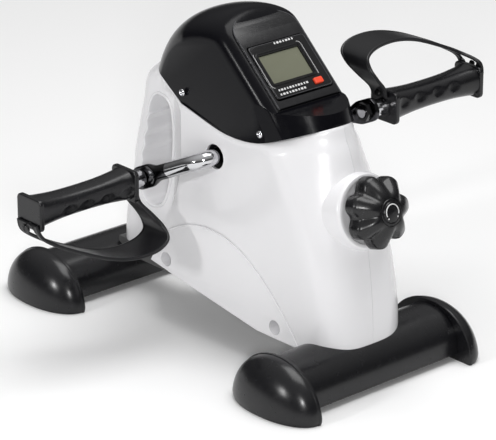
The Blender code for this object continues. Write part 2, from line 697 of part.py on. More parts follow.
def build_knob():
    shape = ((0.0125, 0.030, 0.0020), (0.0150, KNOB_RADIUS, LOBE_DEPTH), (0.0260, KNOB_RADIUS, LOBE_DEPTH),
             (0.0330, 0.028, 0.0022), (0.0380, 0.020, 0.0012), (0.0400, 0.0145, 0.0))
    body = loft_mesh([knob_ring(*ring) for ring in shape])
    socket = rod_mesh(KNOB_FOOT, KNOB_FOOT + KNOB_AXIS * 0.034, 0.0043, 20)
    seat = rod_mesh(KNOB_FOOT + KNOB_AXIS * 0.0385, KNOB_FOOT + KNOB_AXIS * 0.050, 0.0128, 28)
    add_part("tension_knob", cut(body, socket, seat), "black_gloss")
    cap = turned_mesh([(0.0, 0.0425), (0.0105, 0.0418), (0.0125, 0.0405), (0.0125, 0.0388), (0.0, 0.0388)],
                      KNOB_FOOT, KNOB_AXIS, 28)
    add_part("knob_cap", cap, "black_satin")
    screw = turned_mesh([(0.0, 0.0335), (0.0040, 0.0335), (0.0040, 0.0035), (0.0075, 0.0035),
                         (0.0075, 0.0), (0.0040, 0.0), (0.0040, -0.0420), (0.0, -0.0420)],
                        KNOB_FOOT, KNOB_AXIS, 20)
    add_part("tension_screw", screw, "steel")


def build_brake():
    """A shoe that the tension screw moves towards the drive wheel's rim, with a felt pad."""
    low, high = math.radians(181), math.radians(212)
    pad = arc(CRANK_Y, CRANK_Z, WHEEL_RADIUS + 0.0056, low, high, 8)
    pad += arc(CRANK_Y, CRANK_Z, WHEEL_RADIUS + 0.0100, high, low, 8)
    add_part("brake_pad", side_plate_mesh([pad], -0.0060, 0.0060), "felt")
    shoe = arc(CRANK_Y, CRANK_Z, WHEEL_RADIUS + 0.0100 + GAP, low, high, 8)
    shoe += arc(CRANK_Y, CRANK_Z, WHEEL_RADIUS + 0.0300, high, low, 8)
    block = side_plate_mesh([shoe], -RIM_HALF_WIDTH, RIM_HALF_WIDTH)
    bore = rod_mesh(KNOB_FOOT - KNOB_AXIS * 0.0440, KNOB_FOOT, 0.0043, 20)
    add_part("brake_shoe", cut(block, bore), "pulley_plastic")


# ---------------------------------------------------------------- frame and feet

def box_tube(low, high, axis):
    """A rectangular steel tube, open at both ends."""
    inner_low, inner_high = list(low), list(high)
    for i in range(3):
        step = -0.01 if i == axis else STEEL_WALL
        inner_low[i] += step
        inner_high[i] -= step
    return cut(box_mesh(low, high), box_mesh(inner_low, inner_high))


def build_frame():
    for end, middle in (("front", -FOOT_Y), ("rear", FOOT_Y)):
        tube = box_tube((-TUBE_HALF_LENGTH, middle - TUBE_HALF_DEPTH, TUBE_BOTTOM),
                        (TUBE_HALF_LENGTH, middle + TUBE_HALF_DEPTH, TUBE_TOP), 0)
        add_part(f"{end}_cross_tube", tube, "frame_paint")
    reach = FOOT_Y - TUBE_HALF_DEPTH - GAP
    rail = box_tube((-RAIL_HALF_WIDTH, -reach, RAIL_BOTTOM), (RAIL_HALF_WIDTH, reach, RAIL_TOP), 1)
    add_part("base_rail", rail, "frame_paint")
    low_x = RAIL_HALF_WIDTH + GAP
    outline = [(-0.120, 0.034), (0.052, 0.0585), (0.052, 0.074)]
    outline += arc(CRANK_Y, CRANK_Z, 0.022, math.radians(10), math.radians(170), 8)
    outline += [(-0.106, 0.112), (-0.120, 0.070)]
    holes = [circle(CRANK_Y, CRANK_Z, 0.0133), circle(FLYWHEEL_Y, FLYWHEEL_Z, 0.0055, 16)]
    holes += [circle(y, z, 0.0025, 10) for y, z in SHELL_SCREWS]
    for side, word in ((-1, "left"), (1, "right")):
        ends = sorted((side * low_x, side * (low_x + 0.004)))
        add_part(f"{word}_frame_plate", side_plate_mesh([outline] + holes, *ends), "frame_paint")


def build_feet():
    for end, middle in (("front", -FOOT_Y), ("rear", FOOT_Y)):
        cover = side_plate_mesh([[(y + middle, z) for y, z in foot_section()]],
                                -FOOT_HALF_LENGTH + GAP, FOOT_HALF_LENGTH - GAP)
        channel = box_mesh((-0.2, middle - TUBE_HALF_DEPTH - GAP, TUBE_BOTTOM - GAP),
                           (0.2, middle + TUBE_HALF_DEPTH + GAP, TUBE_TOP + GAP))
        rail_side = sorted((math.copysign(FOOT_Y - TUBE_HALF_DEPTH, middle), 0.0))
        notch = box_mesh((-RAIL_HALF_WIDTH - GAP, rail_side[0], RAIL_BOTTOM - GAP),
                         (RAIL_HALF_WIDTH + GAP, rail_side[1], RAIL_TOP + 0.01))
        add_part(f"{end}_foot_cover", cut(cover, channel, notch), "black_satin")
        for side, word in ((-1, "left"), (1, "right")):
            add_part(f"{end}_{word}_end_cap", end_cap(side, middle), "black_satin")


def end_cap(side, middle):
    """A quarter-round plastic end that the bar and its steel tube plug into."""
    face = side * FOOT_HALF_LENGTH
    cap = ellipsoid_mesh((face, middle, 0.0), (CAP_BULGE, CAP_HALF_DEPTH, CAP_HEIGHT))
    ends = sorted((face, face + side * 0.2))
    cap = boolean(cap, box_mesh((ends[0], middle - 0.1, 0.0), (ends[1], middle + 0.1, 0.2)), "INTERSECT")
    pocket_ends = sorted((face - side * 0.05, side * (TUBE_HALF_LENGTH + GAP)))
    pocket = box_mesh((pocket_ends[0], middle - TUBE_HALF_DEPTH - GAP, TUBE_BOTTOM - GAP),
                      (pocket_ends[1], middle + TUBE_HALF_DEPTH + GAP, TUBE_TOP + GAP))
    return cut(cap, pocket)


# ---------------------------------------------------------------- crank and drive

def pedal_axis(side):
    """The (Y, Z) place of the pedal axis: rearwards and down on the left, forwards and up on the right."""
    along = Vector((math.cos(CRANK_DROOP), -math.sin(CRANK_DROOP)))
    return Vector((CRANK_Y, CRANK_Z)) - side * CRANK_RADIUS * along


def bar_half(side):
    """Points of the bent bar from the middle out to one flattened end."""
    centre = Vector((0.0, CRANK_Y, CRANK_Z))
    eye_y, eye_z = pedal_axis(side)
    eye = Vector((side * EYE_X, eye_y, eye_z))
    corner = Vector((side * BAR_BEND_X, CRANK_Y, CRANK_Z))
    bend = 0.016
    start = corner + (centre - corner).normalized() * bend
    end = corner + (eye - corner).normalized() * bend
    points = []
    for i in range(7):
        share = i / 6
        points.append(start * (1 - share) ** 2 + corner * 2 * share * (1 - share) + end * share ** 2)
    points.append(corner + (eye - corner) * 0.90)
    return points


def build_crank():
    points = bar_half(-1)[::-1] + bar_half(1)
    bar = tube_mesh(points, BAR_RADIUS)
    for side in (-1, 1):
        eye_y, eye_z = pedal_axis(side)
        inwards = (Vector((CRANK_Y, CRANK_Z)) - Vector((eye_y, eye_z))).normalized()
        square = Vector((-inwards.y, inwards.x))
        eye = Vector((eye_y, eye_z))
        outline = []
        for i in range(11):
            turn = math.pi * i / 10
            outline.append(eye - inwards * 0.011 * math.sin(turn) + square * 0.011 * math.cos(turn))
        outline.append(eye + inwards * 0.020 - square * 0.008)
        outline.append(eye + inwards * 0.020 + square * 0.008)
        ends = sorted((side * (EYE_X - EYE_THICKNESS / 2), side * (EYE_X + EYE_THICKNESS / 2)))
        trim_ends = sorted((side * (EYE_X + EYE_THICKNESS / 2), side * 0.12))
        trim = rod_mesh((trim_ends[0], *eye), (trim_ends[1], *eye), 0.016)
        back_ends = sorted((side * (EYE_X - EYE_THICKNESS / 2), side * 0.05))
        back = rod_mesh((back_ends[0], *eye), (back_ends[1], *eye), 0.012)
        plate = side_plate_mesh([[tuple(point) for point in outline]], *ends)
        bore = rod_mesh((side * 0.050, *eye), (side * 0.110, *eye), 0.0053, 16)
        bar = cut(joined(bar, plate), trim, back, bore)
    add_part("crank_bar", bar, "chrome")
    for side, word in ((-1, "left"), (1, "right")):
        inner = RAIL_HALF_WIDTH + GAP
        profile = [(0.0080, 0.0060), (0.0165, 0.0060), (0.0165, 0.0043), (0.0130, 0.0043),
                   (0.0130, -0.0020), (0.0080, -0.0020)]
        bearing = turned_mesh(profile, (side * inner, CRANK_Y, CRANK_Z), (side, 0, 0), 24, closed=True)
        add_part(f"{word}_crank_bearing", bearing, "steel")


def build_drive():
    crank_middle = (0.0, CRANK_Y, CRANK_Z)
    outward = (1.0, 0.0, 0.0)
    bore = BAR_RADIUS + GAP
    hub, web = 0.020, 0.068
    wheel_profile = [
        (bore, 0.0165), (hub, 0.0165), (hub, 0.0060), (web, 0.0060), (web, 0.0165),
        (WHEEL_RADIUS, 0.0165), (WHEEL_RADIUS, BELT_HIGH_X), (BELT_TRACK_RADIUS, BELT_HIGH_X),
        (BELT_TRACK_RADIUS, BELT_LOW_X), (WHEEL_RADIUS, BELT_LOW_X), (WHEEL_RADIUS, -RIM_HALF_WIDTH),
        (web, -RIM_HALF_WIDTH), (web, 0.0), (hub, 0.0), (hub, -0.0165), (bore, -0.0165),
    ]
    add_part("drive_wheel", turned_mesh(wheel_profile, crank_middle, outward, 40, closed=True),
             "pulley_plastic")
    axle_middle = (0.0, FLYWHEEL_Y, FLYWHEEL_Z)
    axle = rod_mesh((-0.0300, FLYWHEEL_Y, FLYWHEEL_Z), (0.0465, FLYWHEEL_Y, FLYWHEEL_Z), 0.0050, 20)
    add_part("flywheel_axle", axle, "steel")
    pulley_profile = [(0.0054, 0.0170), (0.0160, 0.0170), (0.0160, BELT_HIGH_X),
                      (SMALL_PULLEY_RADIUS, BELT_HIGH_X), (SMALL_PULLEY_RADIUS, BELT_LOW_X),
                      (0.0160, BELT_LOW_X), (0.0160, 0.0065), (0.010, 0.0065), (0.010, -0.0140),
                      (0.0054, -0.0140)]
    add_part("belt_pulley", turned_mesh(pulley_profile, axle_middle, outward, 28, closed=True),
             "pulley_plastic")
    inner = RAIL_HALF_WIDTH + 0.004 + 4 * GAP
    disc_profile = [(0.0054, inner + 0.018), (0.012, inner + 0.018), (0.012, inner + 0.012),
                    (0.034, inner + 0.012), (0.034, inner + 0.018), (FLYWHEEL_RADIUS, inner + 0.018),
                    (FLYWHEEL_RADIUS, inner), (0.0054, inner)]
    add_part("flywheel", turned_mesh(disc_profile, axle_middle, outward, 36, closed=True), "cast_iron")
    add_part("drive_belt", side_plate_mesh(belt_outlines(), BELT_LOW_X + GAP, BELT_HIGH_X - GAP), "rubber")


def belt_outlines():
    """Outer and inner lines of the belt round the drive wheel and the small pulley."""
    big, small = Vector((CRANK_Y, CRANK_Z)), Vector((FLYWHEEL_Y, FLYWHEEL_Z))
    between = small - big
    heading = math.atan2(between.y, between.x)
    outlines = []
    for grow in (0.0023, GAP):
        big_r, small_r = BELT_TRACK_RADIUS + grow, SMALL_PULLEY_RADIUS + grow
        wrap = math.acos((big_r - small_r) / between.length)
        line = arc(big.x, big.y, big_r, heading + wrap, heading + math.tau - wrap, 40)
        line += arc(small.x, small.y, small_r, heading - wrap, heading + wrap, 8)
        outlines.append(line)
    return outlines


def build_sensor():
    """The magnet on the drive wheel and the switch that counts it."""
    place_y, place_z = CRANK_Y + 0.050, CRANK_Z - 0.020
    magnet = rod_mesh((-GAP, place_y, place_z), (-0.0053, place_y, place_z), 0.004, 16)
    add_part("speed_magnet", magnet, "steel")
    add_part("speed_sensor", speed_sensor_mesh(), "black_satin")


def speed_sensor_mesh():
    """A small block on the left frame plate, reaching towards the magnet's path."""
    inner = RAIL_HALF_WIDTH
    return box_mesh((-inner, CRANK_Y - 0.004, CRANK_Z - 0.070), (-0.0085, CRANK_Y + 0.008, CRANK_Z - 0.040))


# ---------------------------------------------------------------- pedals

def pedal_point(side, out, lean, height):
    """A point given from the pedal axis; the two pedals are half a turn apart."""
    axis_y, axis_z = pedal_axis(side)
    return Vector((side * out, axis_y + side * lean, axis_z + side * height))


def oval(side, out, half_y, half_z):
    points = []
    for i in range(16):
        turn = math.tau * i / 16
        lean = half_y * math.copysign(abs(math.cos(turn)) ** 0.8, math.cos(turn))
        height = half_z * math.copysign(abs(math.sin(turn)) ** 0.8, math.sin(turn))
        points.append(pedal_point(side, out, lean, height))
    return points


def pedal_plate(side, low, high):
    """A flat end plate with cut corners."""
    corner = 0.004
    outline = rectangle(0.0, 0.0, PLATE_HALF_Y, PLATE_HALF_Z, corner)
    rings = [[pedal_point(side, out, lean, height) for lean, height in outline] for out in (low, high)]
    return loft_mesh(rings)


def build_pedal(side, word):
    waist = ((PEDAL_INNER + 0.004, 0.0165, 0.0150), (0.112, 0.0150, 0.0135), (0.130, 0.0142, 0.0120),
             (0.154, 0.0140, 0.0115), (0.178, 0.0142, 0.0120), (0.196, 0.0152, 0.0135),
             (PEDAL_OUTER - 0.004, 0.0168, 0.0150))
    body = loft_mesh([oval(side, *ring) for ring in waist])
    inner = pedal_plate(side, PEDAL_INNER, PEDAL_INNER + PLATE_THICKNESS)
    outer = pedal_plate(side, PEDAL_OUTER - PLATE_THICKNESS, PEDAL_OUTER)
    axis_y, axis_z = pedal_axis(side)
    bore = rod_mesh((side * 0.080, axis_y, axis_z), (side * 0.2085, axis_y, axis_z),
                    SPINDLE_RADIUS + 0.0004, 20)
    add_part(f"{word}_pedal_body", cut(joined(body, inner, outer), bore), "black_satin")
    spindle_profile = [(0.0, 0.2080), (SPINDLE_RADIUS, 0.2080), (SPINDLE_RADIUS, 0.0945), (0.0080, 0.0945),
                       (0.0080, EYE_X + EYE_THICKNESS / 2 + GAP), (0.0050, EYE_X + EYE_THICKNESS / 2 + GAP),
                       (0.0050, 0.0670), (0.0, 0.0670)]
    spindle = turned_mesh(spindle_profile, (0.0, axis_y, axis_z), (side, 0, 0), 24)
    add_part(f"{word}_pedal_spindle", spindle, "chrome")
    nut_high = EYE_X - EYE_THICKNESS / 2 - GAP
    nut = turned_mesh([(0.0062, nut_high), (0.0092, nut_high), (0.0092, nut_high - 0.005),
                       (0.0062, nut_high - 0.005)], (0.0, axis_y, axis_z), (side, 0, 0), 6, closed=True)
    add_part(f"{word}_spindle_nut", nut, "steel")
    build_strap(side, word)


def smooth_line(points, between):
    """Catmull-Rom points through a list of equal-length tuples."""
    line = []
    for k in range(len(points) - 1):
        before = Vector(points[max(k - 1, 0)])
        first, second = Vector(points[k]), Vector(points[k + 1])
        after = Vector(points[min(k + 2, len(points) - 1)])
        for i in range(between):
            t = i / between
            line.append(0.5 * (2 * first + (second - before) * t
                               + (2 * before - 5 * first + 4 * second - after) * t ** 2
                               + (3 * first - before - 3 * second + after) * t ** 3))
    line.append(Vector(points[-1]))
    return line


def build_strap(side, word):
    """The moulded foot strap: a wide band over the foot, narrow where it is pinned to the pedal."""
    line = smooth_line(STRAP_LINE, 2)
    rings = []
    for k, (out, height, lean, width) in enumerate(line):
        ahead, behind = line[min(k + 1, len(line) - 1)], line[max(k - 1, 0)]
        run = Vector((ahead[0] - behind[0], ahead[1] - behind[1])).normalized()
        normal = Vector((-run.y, run.x)) * STRAP_THICKNESS / 2
        ring = []
        for across, sign in ((-1, 1), (1, 1), (1, -1), (-1, -1)):
            ring.append(pedal_point(side, out + sign * normal.x, lean + across * width / 2,
                                    height + sign * normal.y))
        rings.append(ring)
    strap = loft_mesh(rings)
    inner_cut = PEDAL_INNER - GAP
    outer_cut = PEDAL_OUTER + GAP
    keep_out = [pedal_point(side, inner_cut, -0.03, -0.03), pedal_point(side, outer_cut, 0.03, 0.0158)]
    low = [min(a, b) for a, b in zip(*keep_out)]
    high = [max(a, b) for a, b in zip(*keep_out)]
    add_part(f"{word}_foot_strap", cut(strap, box_mesh(low, high)), "rubber")
    for end, out, direction in (("inner", 0.0906, -1), ("outer", 0.2160, 1)):
        start = pedal_point(side, out, 0.003, 0.0135)
        finish = pedal_point(side, out + direction * 0.0018, 0.003, 0.0135)
        add_part(f"{word}_strap_pin_{end}", rod_mesh(start, finish, 0.0035, 14, 0.0026), "black_gloss")


def set_origins():
    """Give each moving piece its origin on the axis that it turns about or slides along."""
    crank = Vector((0.0, CRANK_Y, CRANK_Z))
    flywheel = Vector((0.0, FLYWHEEL_Y, FLYWHEEL_Z))
    button = slope_place() @ Vector((BUTTON_U, METER_MIDDLE_V + BUTTON_V, PANEL_THICKNESS))
    origins = {"crank_bar": crank, "drive_wheel": crank, "speed_magnet": crank,
               "flywheel": flywheel, "flywheel_axle": flywheel, "belt_pulley": flywheel,
               "tension_knob": KNOB_FOOT, "knob_cap": KNOB_FOOT, "tension_screw": KNOB_FOOT,
               "brake_shoe": KNOB_FOOT, "brake_pad": KNOB_FOOT, "mode_button": button}
    for side, word in ((-1, "left"), (1, "right")):
        pedal = Vector((side * PEDAL_INNER, *pedal_axis(side)))
        for piece in ("pedal_body", "foot_strap", "strap_pin_inner", "strap_pin_outer",
                      "pedal_spindle", "spindle_nut"):
            origins[f"{word}_{piece}"] = pedal
    for name, point in origins.items():
        part = PARTS.objects[name]
        part.data.transform(Matrix.Translation(-point))
        part.location = point


# ---------------------------------------------------------------- the whole machine

clear_scene()
PARTS = make_collection("pedal_exerciser")
CUTTERS = make_collection("cutters")
MATERIALS = make_materials()
build_shells()
build_top_cover()
build_console()
build_meter()
build_casing_screws()
build_knob()
build_brake()
build_frame()
build_feet()
build_crank()
build_drive()
build_sensor()
build_pedal(-1, "left")
build_pedal(1, "right")
set_origins()
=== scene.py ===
"""Looks of the pedal exerciser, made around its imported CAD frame.

Metres, +Z up, the user on the -Y side.  The top cover's lower edge, its ledge and the console
follow the real machine closer than the CAD does, and are a little off its solids.
"""

import json
import math

import bmesh
import bpy
from mathutils import Matrix, Vector


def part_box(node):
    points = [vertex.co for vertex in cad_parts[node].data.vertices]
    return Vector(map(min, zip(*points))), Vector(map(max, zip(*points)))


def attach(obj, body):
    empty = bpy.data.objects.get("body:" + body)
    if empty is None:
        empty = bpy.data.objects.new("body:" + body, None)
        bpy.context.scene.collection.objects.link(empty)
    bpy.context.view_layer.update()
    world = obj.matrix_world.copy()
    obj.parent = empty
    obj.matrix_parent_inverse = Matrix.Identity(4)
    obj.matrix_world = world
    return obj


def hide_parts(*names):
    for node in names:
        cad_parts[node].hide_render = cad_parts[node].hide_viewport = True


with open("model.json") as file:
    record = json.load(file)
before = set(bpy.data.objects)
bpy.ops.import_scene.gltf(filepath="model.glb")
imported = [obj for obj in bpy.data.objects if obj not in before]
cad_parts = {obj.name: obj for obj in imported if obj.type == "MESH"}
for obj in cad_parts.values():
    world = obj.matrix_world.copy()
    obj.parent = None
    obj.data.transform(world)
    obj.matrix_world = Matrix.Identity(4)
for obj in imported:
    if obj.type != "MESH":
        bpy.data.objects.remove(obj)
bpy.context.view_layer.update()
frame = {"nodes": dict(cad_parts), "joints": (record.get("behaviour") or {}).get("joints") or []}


def joint_place(name):
    """(point on the axis, axis) of a joint."""
    found = next(joint for joint in frame["joints"] if joint["name"] == name)
    return Vector(found.get("pos_m") or (0.0, 0.0, 0.0)), Vector(found["axis"]).normalized()


# Axes that the joints give
CRANK, _ = joint_place("crank_spin")
PEDAL_AXIS = {-1: joint_place("left_pedal_spin")[0], 1: joint_place("right_pedal_spin")[0]}
KNOB_FOOT, KNOB_IN = joint_place("knob_turn")
KNOB_OUT = -KNOB_IN
SIDES = ((-1, "left"), (1, "right"))

# Casing
HALF_WIDTH = 0.050
TAIL_HALF_WIDTH = 0.0235
SHELL_WALL = 0.0025
RIDGE_FOOT_Y, NOSE_FOOT_Y = -0.170, -0.1885
NOSE_TOP_Z = 0.236
SIDE_TOP_Y = 0.023
FLARE_FOOT_Z = 0.217
TAIL_ROUND = 0.022
TAIL_BOTTOM_Z = 0.050
BOTTOM_LOW_Z, BOTTOM_HIGH_Z = 0.034, 0.060
BOTTOM_Y, BOTTOM_Z, BOTTOM_SLOPE = -0.125, 0.0286, 0.147
TAIL_PROFILE = ((0.048, 0.151), (0.079, 0.149), (0.124, 0.138), (0.150, 0.134), (0.188, 0.1245),
                (0.204, 0.1200), (0.216, 0.1180), (0.225, 0.1160), (0.233, 0.1125), (0.241, 0.1065),
                (0.250, 0.0965))
TAIL_TOP_Y, TAIL_TOP_SHARES = (0.042, 0.056), (1.0, 0.98, 0.92, 0.80, 0.60, 0.30, 0.0)
TAIL_TOP_MARGIN = 0.0018
HAND_HOLE = ((0.0735, 0.214), (0.067, 0.205), (0.0640, 0.180), (0.0665, 0.148), (0.074, 0.118),
             (0.083, 0.104), (0.096, 0.100), (0.107, 0.106), (0.1125, 0.122), (0.108, 0.152),
             (0.101, 0.182), (0.095, 0.205), (0.086, 0.215))
HOLE_POINTS = 140
FINGER_Z, FINGER_PITCH, FINGER_DEPTH = 0.158, 0.018, 0.0024
SHELL_SCREWS = ((-0.1107, 0.0455), (0.043, 0.066))
RECESS_RADIUS, RECESS_X = 0.0072, 0.0340
CRANK_HOLE_RADIUS = 0.012
CUT_REACH = 0.070                        # how far out the cutting tools start
SIDE_FLARE, TAIL_FLARE = 1.6, 4.0        # powers of the blend up to the edge under the cover
FLARE_LEAST = 0.010                      # least height of that blend
COVER_GAP, SEAM_GAP = 0.0006, 0.00015    # gaps under the cover and between the halves
PLAN_FOOT_Z = 0.045
LIP_HEIGHT, LIP_INSET = 0.0050, 0.0020   # rounding of the casing's edge under the top cover
BOSS_RADIUS = 0.0355

# How the casing's plan changes from its foot upwards
RISE_FOOT_Z, RISE_HEIGHT = 0.050, 0.181
RIDGE_LEAN, RIDGE_LEAN_POWER = 0.066, 1.8
NOSE_LEAN, NOSE_LEAN_Z, NOSE_LEAN_HEIGHT, NOSE_LEAN_POWER = 0.0395, 0.033, 0.199, 2.1
RIDGE_X, RIDGE_NARROWING = 0.049, 0.0045
BLUNTNESS, BLUNTNESS_LOSS, BLUNTNESS_HEIGHT = 4.0, 2.0, 0.150
RIDGE_ROUND, PLAN_SOFTENING, NOSE_STEPS = 0.014, 5, 40
SIDE_REAR_Y, SIDE_REAR_LEAN, SIDE_REAR_POWER = 0.021, 0.047, 1.4
SIDE_REAR_TOP_Z, SIDE_REAR_HEIGHT = 0.170, 0.113
STRIP_END_Y, STRIP_LENGTH = 0.062, 0.022
# Points along the front, the slanting strip, the handle's side and its rounded back
FRONT_COUNT, STRIP_COUNT, TAIL_COUNT, ROUND_COUNT = 96, 8, 10, 14

# Raised panel on each side: its upper edge is a parabola
ARCH_TOP_Y, ARCH_TOP_Z, ARCH_CURVE = -0.020, 0.1157, 5.3
ARCH_REAR_Y, ARCH_FRONT_Y, ARCH_STEPS = 0.0375, -0.1480, 60
PANEL_PROUD, PANEL_EDGE = 0.0013, 0.0010

# Top cover
DOME_RADIUS, DOME_CROWN, DOME_WALL = 0.134, 0.024, 0.003
SLOPE_HALF_WIDTH, SLOPE_SHOULDER, LEDGE_SHOULDER = 0.0375, 0.015, 0.004
COVER_FRONT_Y, COVER_FRONT_MARGIN = -0.106, 0.006
# Behind this place the cover narrows: by this share over this length, to this power
COVER_TAPER_Y, COVER_TAPER, COVER_TAPER_LENGTH, COVER_TAPER_POWER = 0.020, 0.5, 0.073, 1.1
# Its lower edge: a parabola about its lowest point, then straight behind the crank
EDGE_LOW_Y, EDGE_LOW_Z, EDGE_CURVE = -0.052, 0.215, 3.6
EDGE_STRAIGHT_Y, EDGE_SLOPE = -0.0187, 0.24
NOSE_LIP_SLOPE = 0.38
SLOPE_ANGLE = math.radians(42.4)
SLOPE_FOOT_Y, SLOPE_FOOT_Z = -0.094, 0.257
LEDGE_Z, LEDGE_BEND = 0.2505, 2.3
# The cover's front in plan at two heights: height, middle y, corner x and corner y
LEDGE_PLANS = ((0.2275, -0.1435, 0.0375, -0.1230), (0.2505, -0.1372, 0.0405, -0.1050))
CHEEK_LENGTH, CHEEK_STEPS, FRONT_STEPS = 0.050, 12, 40
PLAN_LOW_Z, PLAN_HIGH_Z, PLAN_MARGIN = 0.150, 0.360, 0.0004
# Points of the dome's arc, of its whole outline and of the part by the ledge that stays sharp
DOME_STEPS, DOME_POINTS, SHARP_POINTS, DOME_SOFTENING = 48, 90, 8, 10
INSIDE_MARGIN = 0.010                    # how far the cover's inside goes below its edge
COVER_NARROWING = 0.036                  # share of its width by which the cover is inside the casing
COVER_REAR_Y = 0.150                     # a place behind the whole cover
DOME_SCREWS = ((0.0213, 0.2395), (-0.0864, 0.2276))

# Console, across and up the slope from its foot
PANEL_HALF_WIDTH, PANEL_LENGTH, PANEL_ARCH_RISE, PANEL_THICKNESS = 0.0380, 0.094, 0.023, 0.0022
PANEL_FOOT_V = -0.0085
METER_HALF = Vector((0.0342, 0.0285))
METER_MIDDLE_V = 0.0290
METER_TOP = PANEL_THICKNESS + 0.0016
LCD_DEPTH, BUTTON_WELL_DEPTH = 0.0022, 0.0075
BEND_START_V, BEND_RADIUS, BEND_CUTS, CUT_PITCH = 0.0630, 0.110, 28, 0.00125
DASH_SHARE, DASH_CHANGE, DASH_SHIFT = 0.22, 0.07, 0.36   # of the pitch of a row of dashes
LCD_HALF, LCD_U, LCD_V = Vector((0.0245, 0.0149)), -0.0040, 0.0025
BUTTON_HALF, BUTTON_U, BUTTON_V = Vector((0.0052, 0.0034)), 0.0195, -0.0215

# Knob, outwards from its foot
KNOB_RADIUS, KNOB_LOBES, LOBE_DEPTH = 0.0315, 7, 0.0026
VALLEY_DEPTH, VALLEY_POWER = 2.5, 1.6    # valleys between lobes, the depth as a share of a lobe's
KNOB_BORE, KNOB_FACE_RADIUS = 0.0060, 0.0130
KNOB_FACE_RISE, KNOB_FACE_STEPS, SCOOP_DEPTH = 0.0118, 16, 0.0012
CAP_SEAT, CAP_SEAT_RADIUS, MARK_RADIUS = 0.0382, 0.0126, 0.0074
# The side of the knob: distance out, change of radius and share of the lobes
KNOB_SIDES = ((0.0125, -0.0030, 0.7), (0.0132, -0.0010, 0.9), (0.0150, 0.0, 1.0), (0.0190, 0.0, 1.0),
              (0.0230, 0.0, 1.0), (0.0255, -0.0004, 1.0), (0.0272, -0.0014, 1.0))

# Crank arms
BAR_RADIUS, BAR_BEND_X, EYE_X, EYE_THICKNESS = 0.0075, 0.066, 0.076, 0.005
EYE_ROW = -18                            # the row of an arm where its flat end starts, in a darker copy of the chrome: painted shade
BEND_REACH, EYE_RADIUS = 0.018, 0.0112   # length of the bend each way, and the flat end's radius
FLAT_START, FLAT_LENGTH = 0.034, 0.014   # from the tip, where the bar starts to flatten
TIP_LENGTH, TIP_POWER, TIP_ROOT, FLAT_SQUARENESS = 0.0114, 3.4, 0.30, 0.55
ARM_STEPS = 28                           # points along the straight part of an arm

# Pedals, outwards from the middle and from the pedal axis
PEDAL_INNER, PEDAL_OUTER, PLATE_THICKNESS = 0.0955, 0.212, 0.005
PLATE_HALF_Y, PLATE_HALF_Z = 0.0175, 0.0155
DIMPLES = (0.108, 0.131, 0.155, 0.176)
DIMPLE_HALF_LENGTH, DIMPLE_HALF_HEIGHT, DIMPLE_HEIGHT, DIMPLE_DEPTH = 0.0078, 0.0052, 0.0035, 0.0017
# The foot rest: distance out, half depth and half height
WAIST = ((0.0990, 0.0168, 0.0152), (0.1030, 0.0160, 0.0146), (0.112, 0.0150, 0.0135),
         (0.130, 0.0142, 0.0120), (0.154, 0.0140, 0.0115), (0.178, 0.0142, 0.0120),
         (0.196, 0.0152, 0.0135), (0.2045, 0.0160, 0.0146), (0.2085, 0.0168, 0.0152))
STRAP_THICKNESS, STRAP_EDGE_RADIUS, STRAP_EDGE_INSET = 0.0025, 0.0017, 0.0008
FORK_START, FORK_END, FORK_SHARE = 9.0, 10.8, 0.66   # in points of the line; share of the width
# The strap's middle line: distance out, height, lean and width
STRAP_LINE = (
    (0.0935, 0.0095, 0.003, 0.018), (0.0920, 0.0180, 0.005, 0.021), (0.0860, 0.0280, 0.012, 0.027),
    (0.0825, 0.0380, 0.021, 0.033), (0.0860, 0.0465, 0.029, 0.036), (0.1020, 0.0520, 0.033, 0.036),
    (0.1270, 0.0530, 0.033, 0.034), (0.1530, 0.0480, 0.030, 0.030), (0.1780, 0.0385, 0.022, 0.025),
    (0.1990, 0.0285, 0.014, 0.022), (0.2105, 0.0200, 0.003, 0.031), (0.2138, 0.0085, 0.000, 0.028),
)

# Feet
FOOT_HALF_LENGTH, BAR_HALF_DEPTH = 0.0945, 0.0367
BAR_BOTTOM, BAR_TOP = 0.007, 0.046
CAP_HALF_DEPTH, CAP_HEIGHT, CAP_BULGE, CAP_RIM = 0.055, 0.050, 0.0315, 0.0040
TUCK_HEIGHT, TUCK_X, TUCK_Y = 0.007, 0.05, 0.035   # the caps draw in just above the floor

# Camera and the point that the lights face
CAMERA_PLACE, CAMERA_TARGET = (-1.6957, -1.9145, 1.1341), (0.01509, 0.0, 0.10146)
CAMERA_LENS, CAMERA_SENSOR, CAMERA_REACH = 210.5, 36.0, 50.0
LIT_POINT = (0.0, 0.0, 0.12)


# ---------------------------------------------------------------- materials

WORN_POINTINESS = (0.53, 0.62)           # edges sharper than this show wear
GLOSS_NOISE = (0.3, 0.7)                 # the part of the noise that changes the gloss
WAVE_SCALE, COAT_ROUGHNESS = 28.0, 0.08


def link(tree, output, socket):
    """Join two sockets of a node tree."""
    tree.links.new(output, socket)


def noise(tree, place, scale, detail=3.0, stretch=None):
    """A noise pattern fixed to the piece, in cells of about 1/scale metres."""
    texture = tree.nodes.new("ShaderNodeTexNoise")
    texture.inputs["Scale"].default_value = scale
    texture.inputs["Detail"].default_value = detail
    source = place.outputs["Object"]
    if stretch:
        mapping = tree.nodes.new("ShaderNodeMapping")
        mapping.inputs["Scale"].default_value = stretch
        link(tree, source, mapping.inputs["Vector"])
        source = mapping.outputs["Vector"]
    link(tree, source, texture.inputs["Vector"])
    return texture.outputs["Fac"]


def mixed(tree, factor, low, high):
    """Two colours mixed by a factor."""
    mix = tree.nodes.new("ShaderNodeMix")
    mix.data_type = "RGBA"
    link(tree, factor, mix.inputs[0])
    for socket, colour in ((mix.inputs[6], low), (mix.inputs[7], high)):
        if isinstance(colour, tuple):
            socket.default_value = (*colour, 1.0)
        else:
            link(tree, colour, socket)
    return mix.outputs[2]


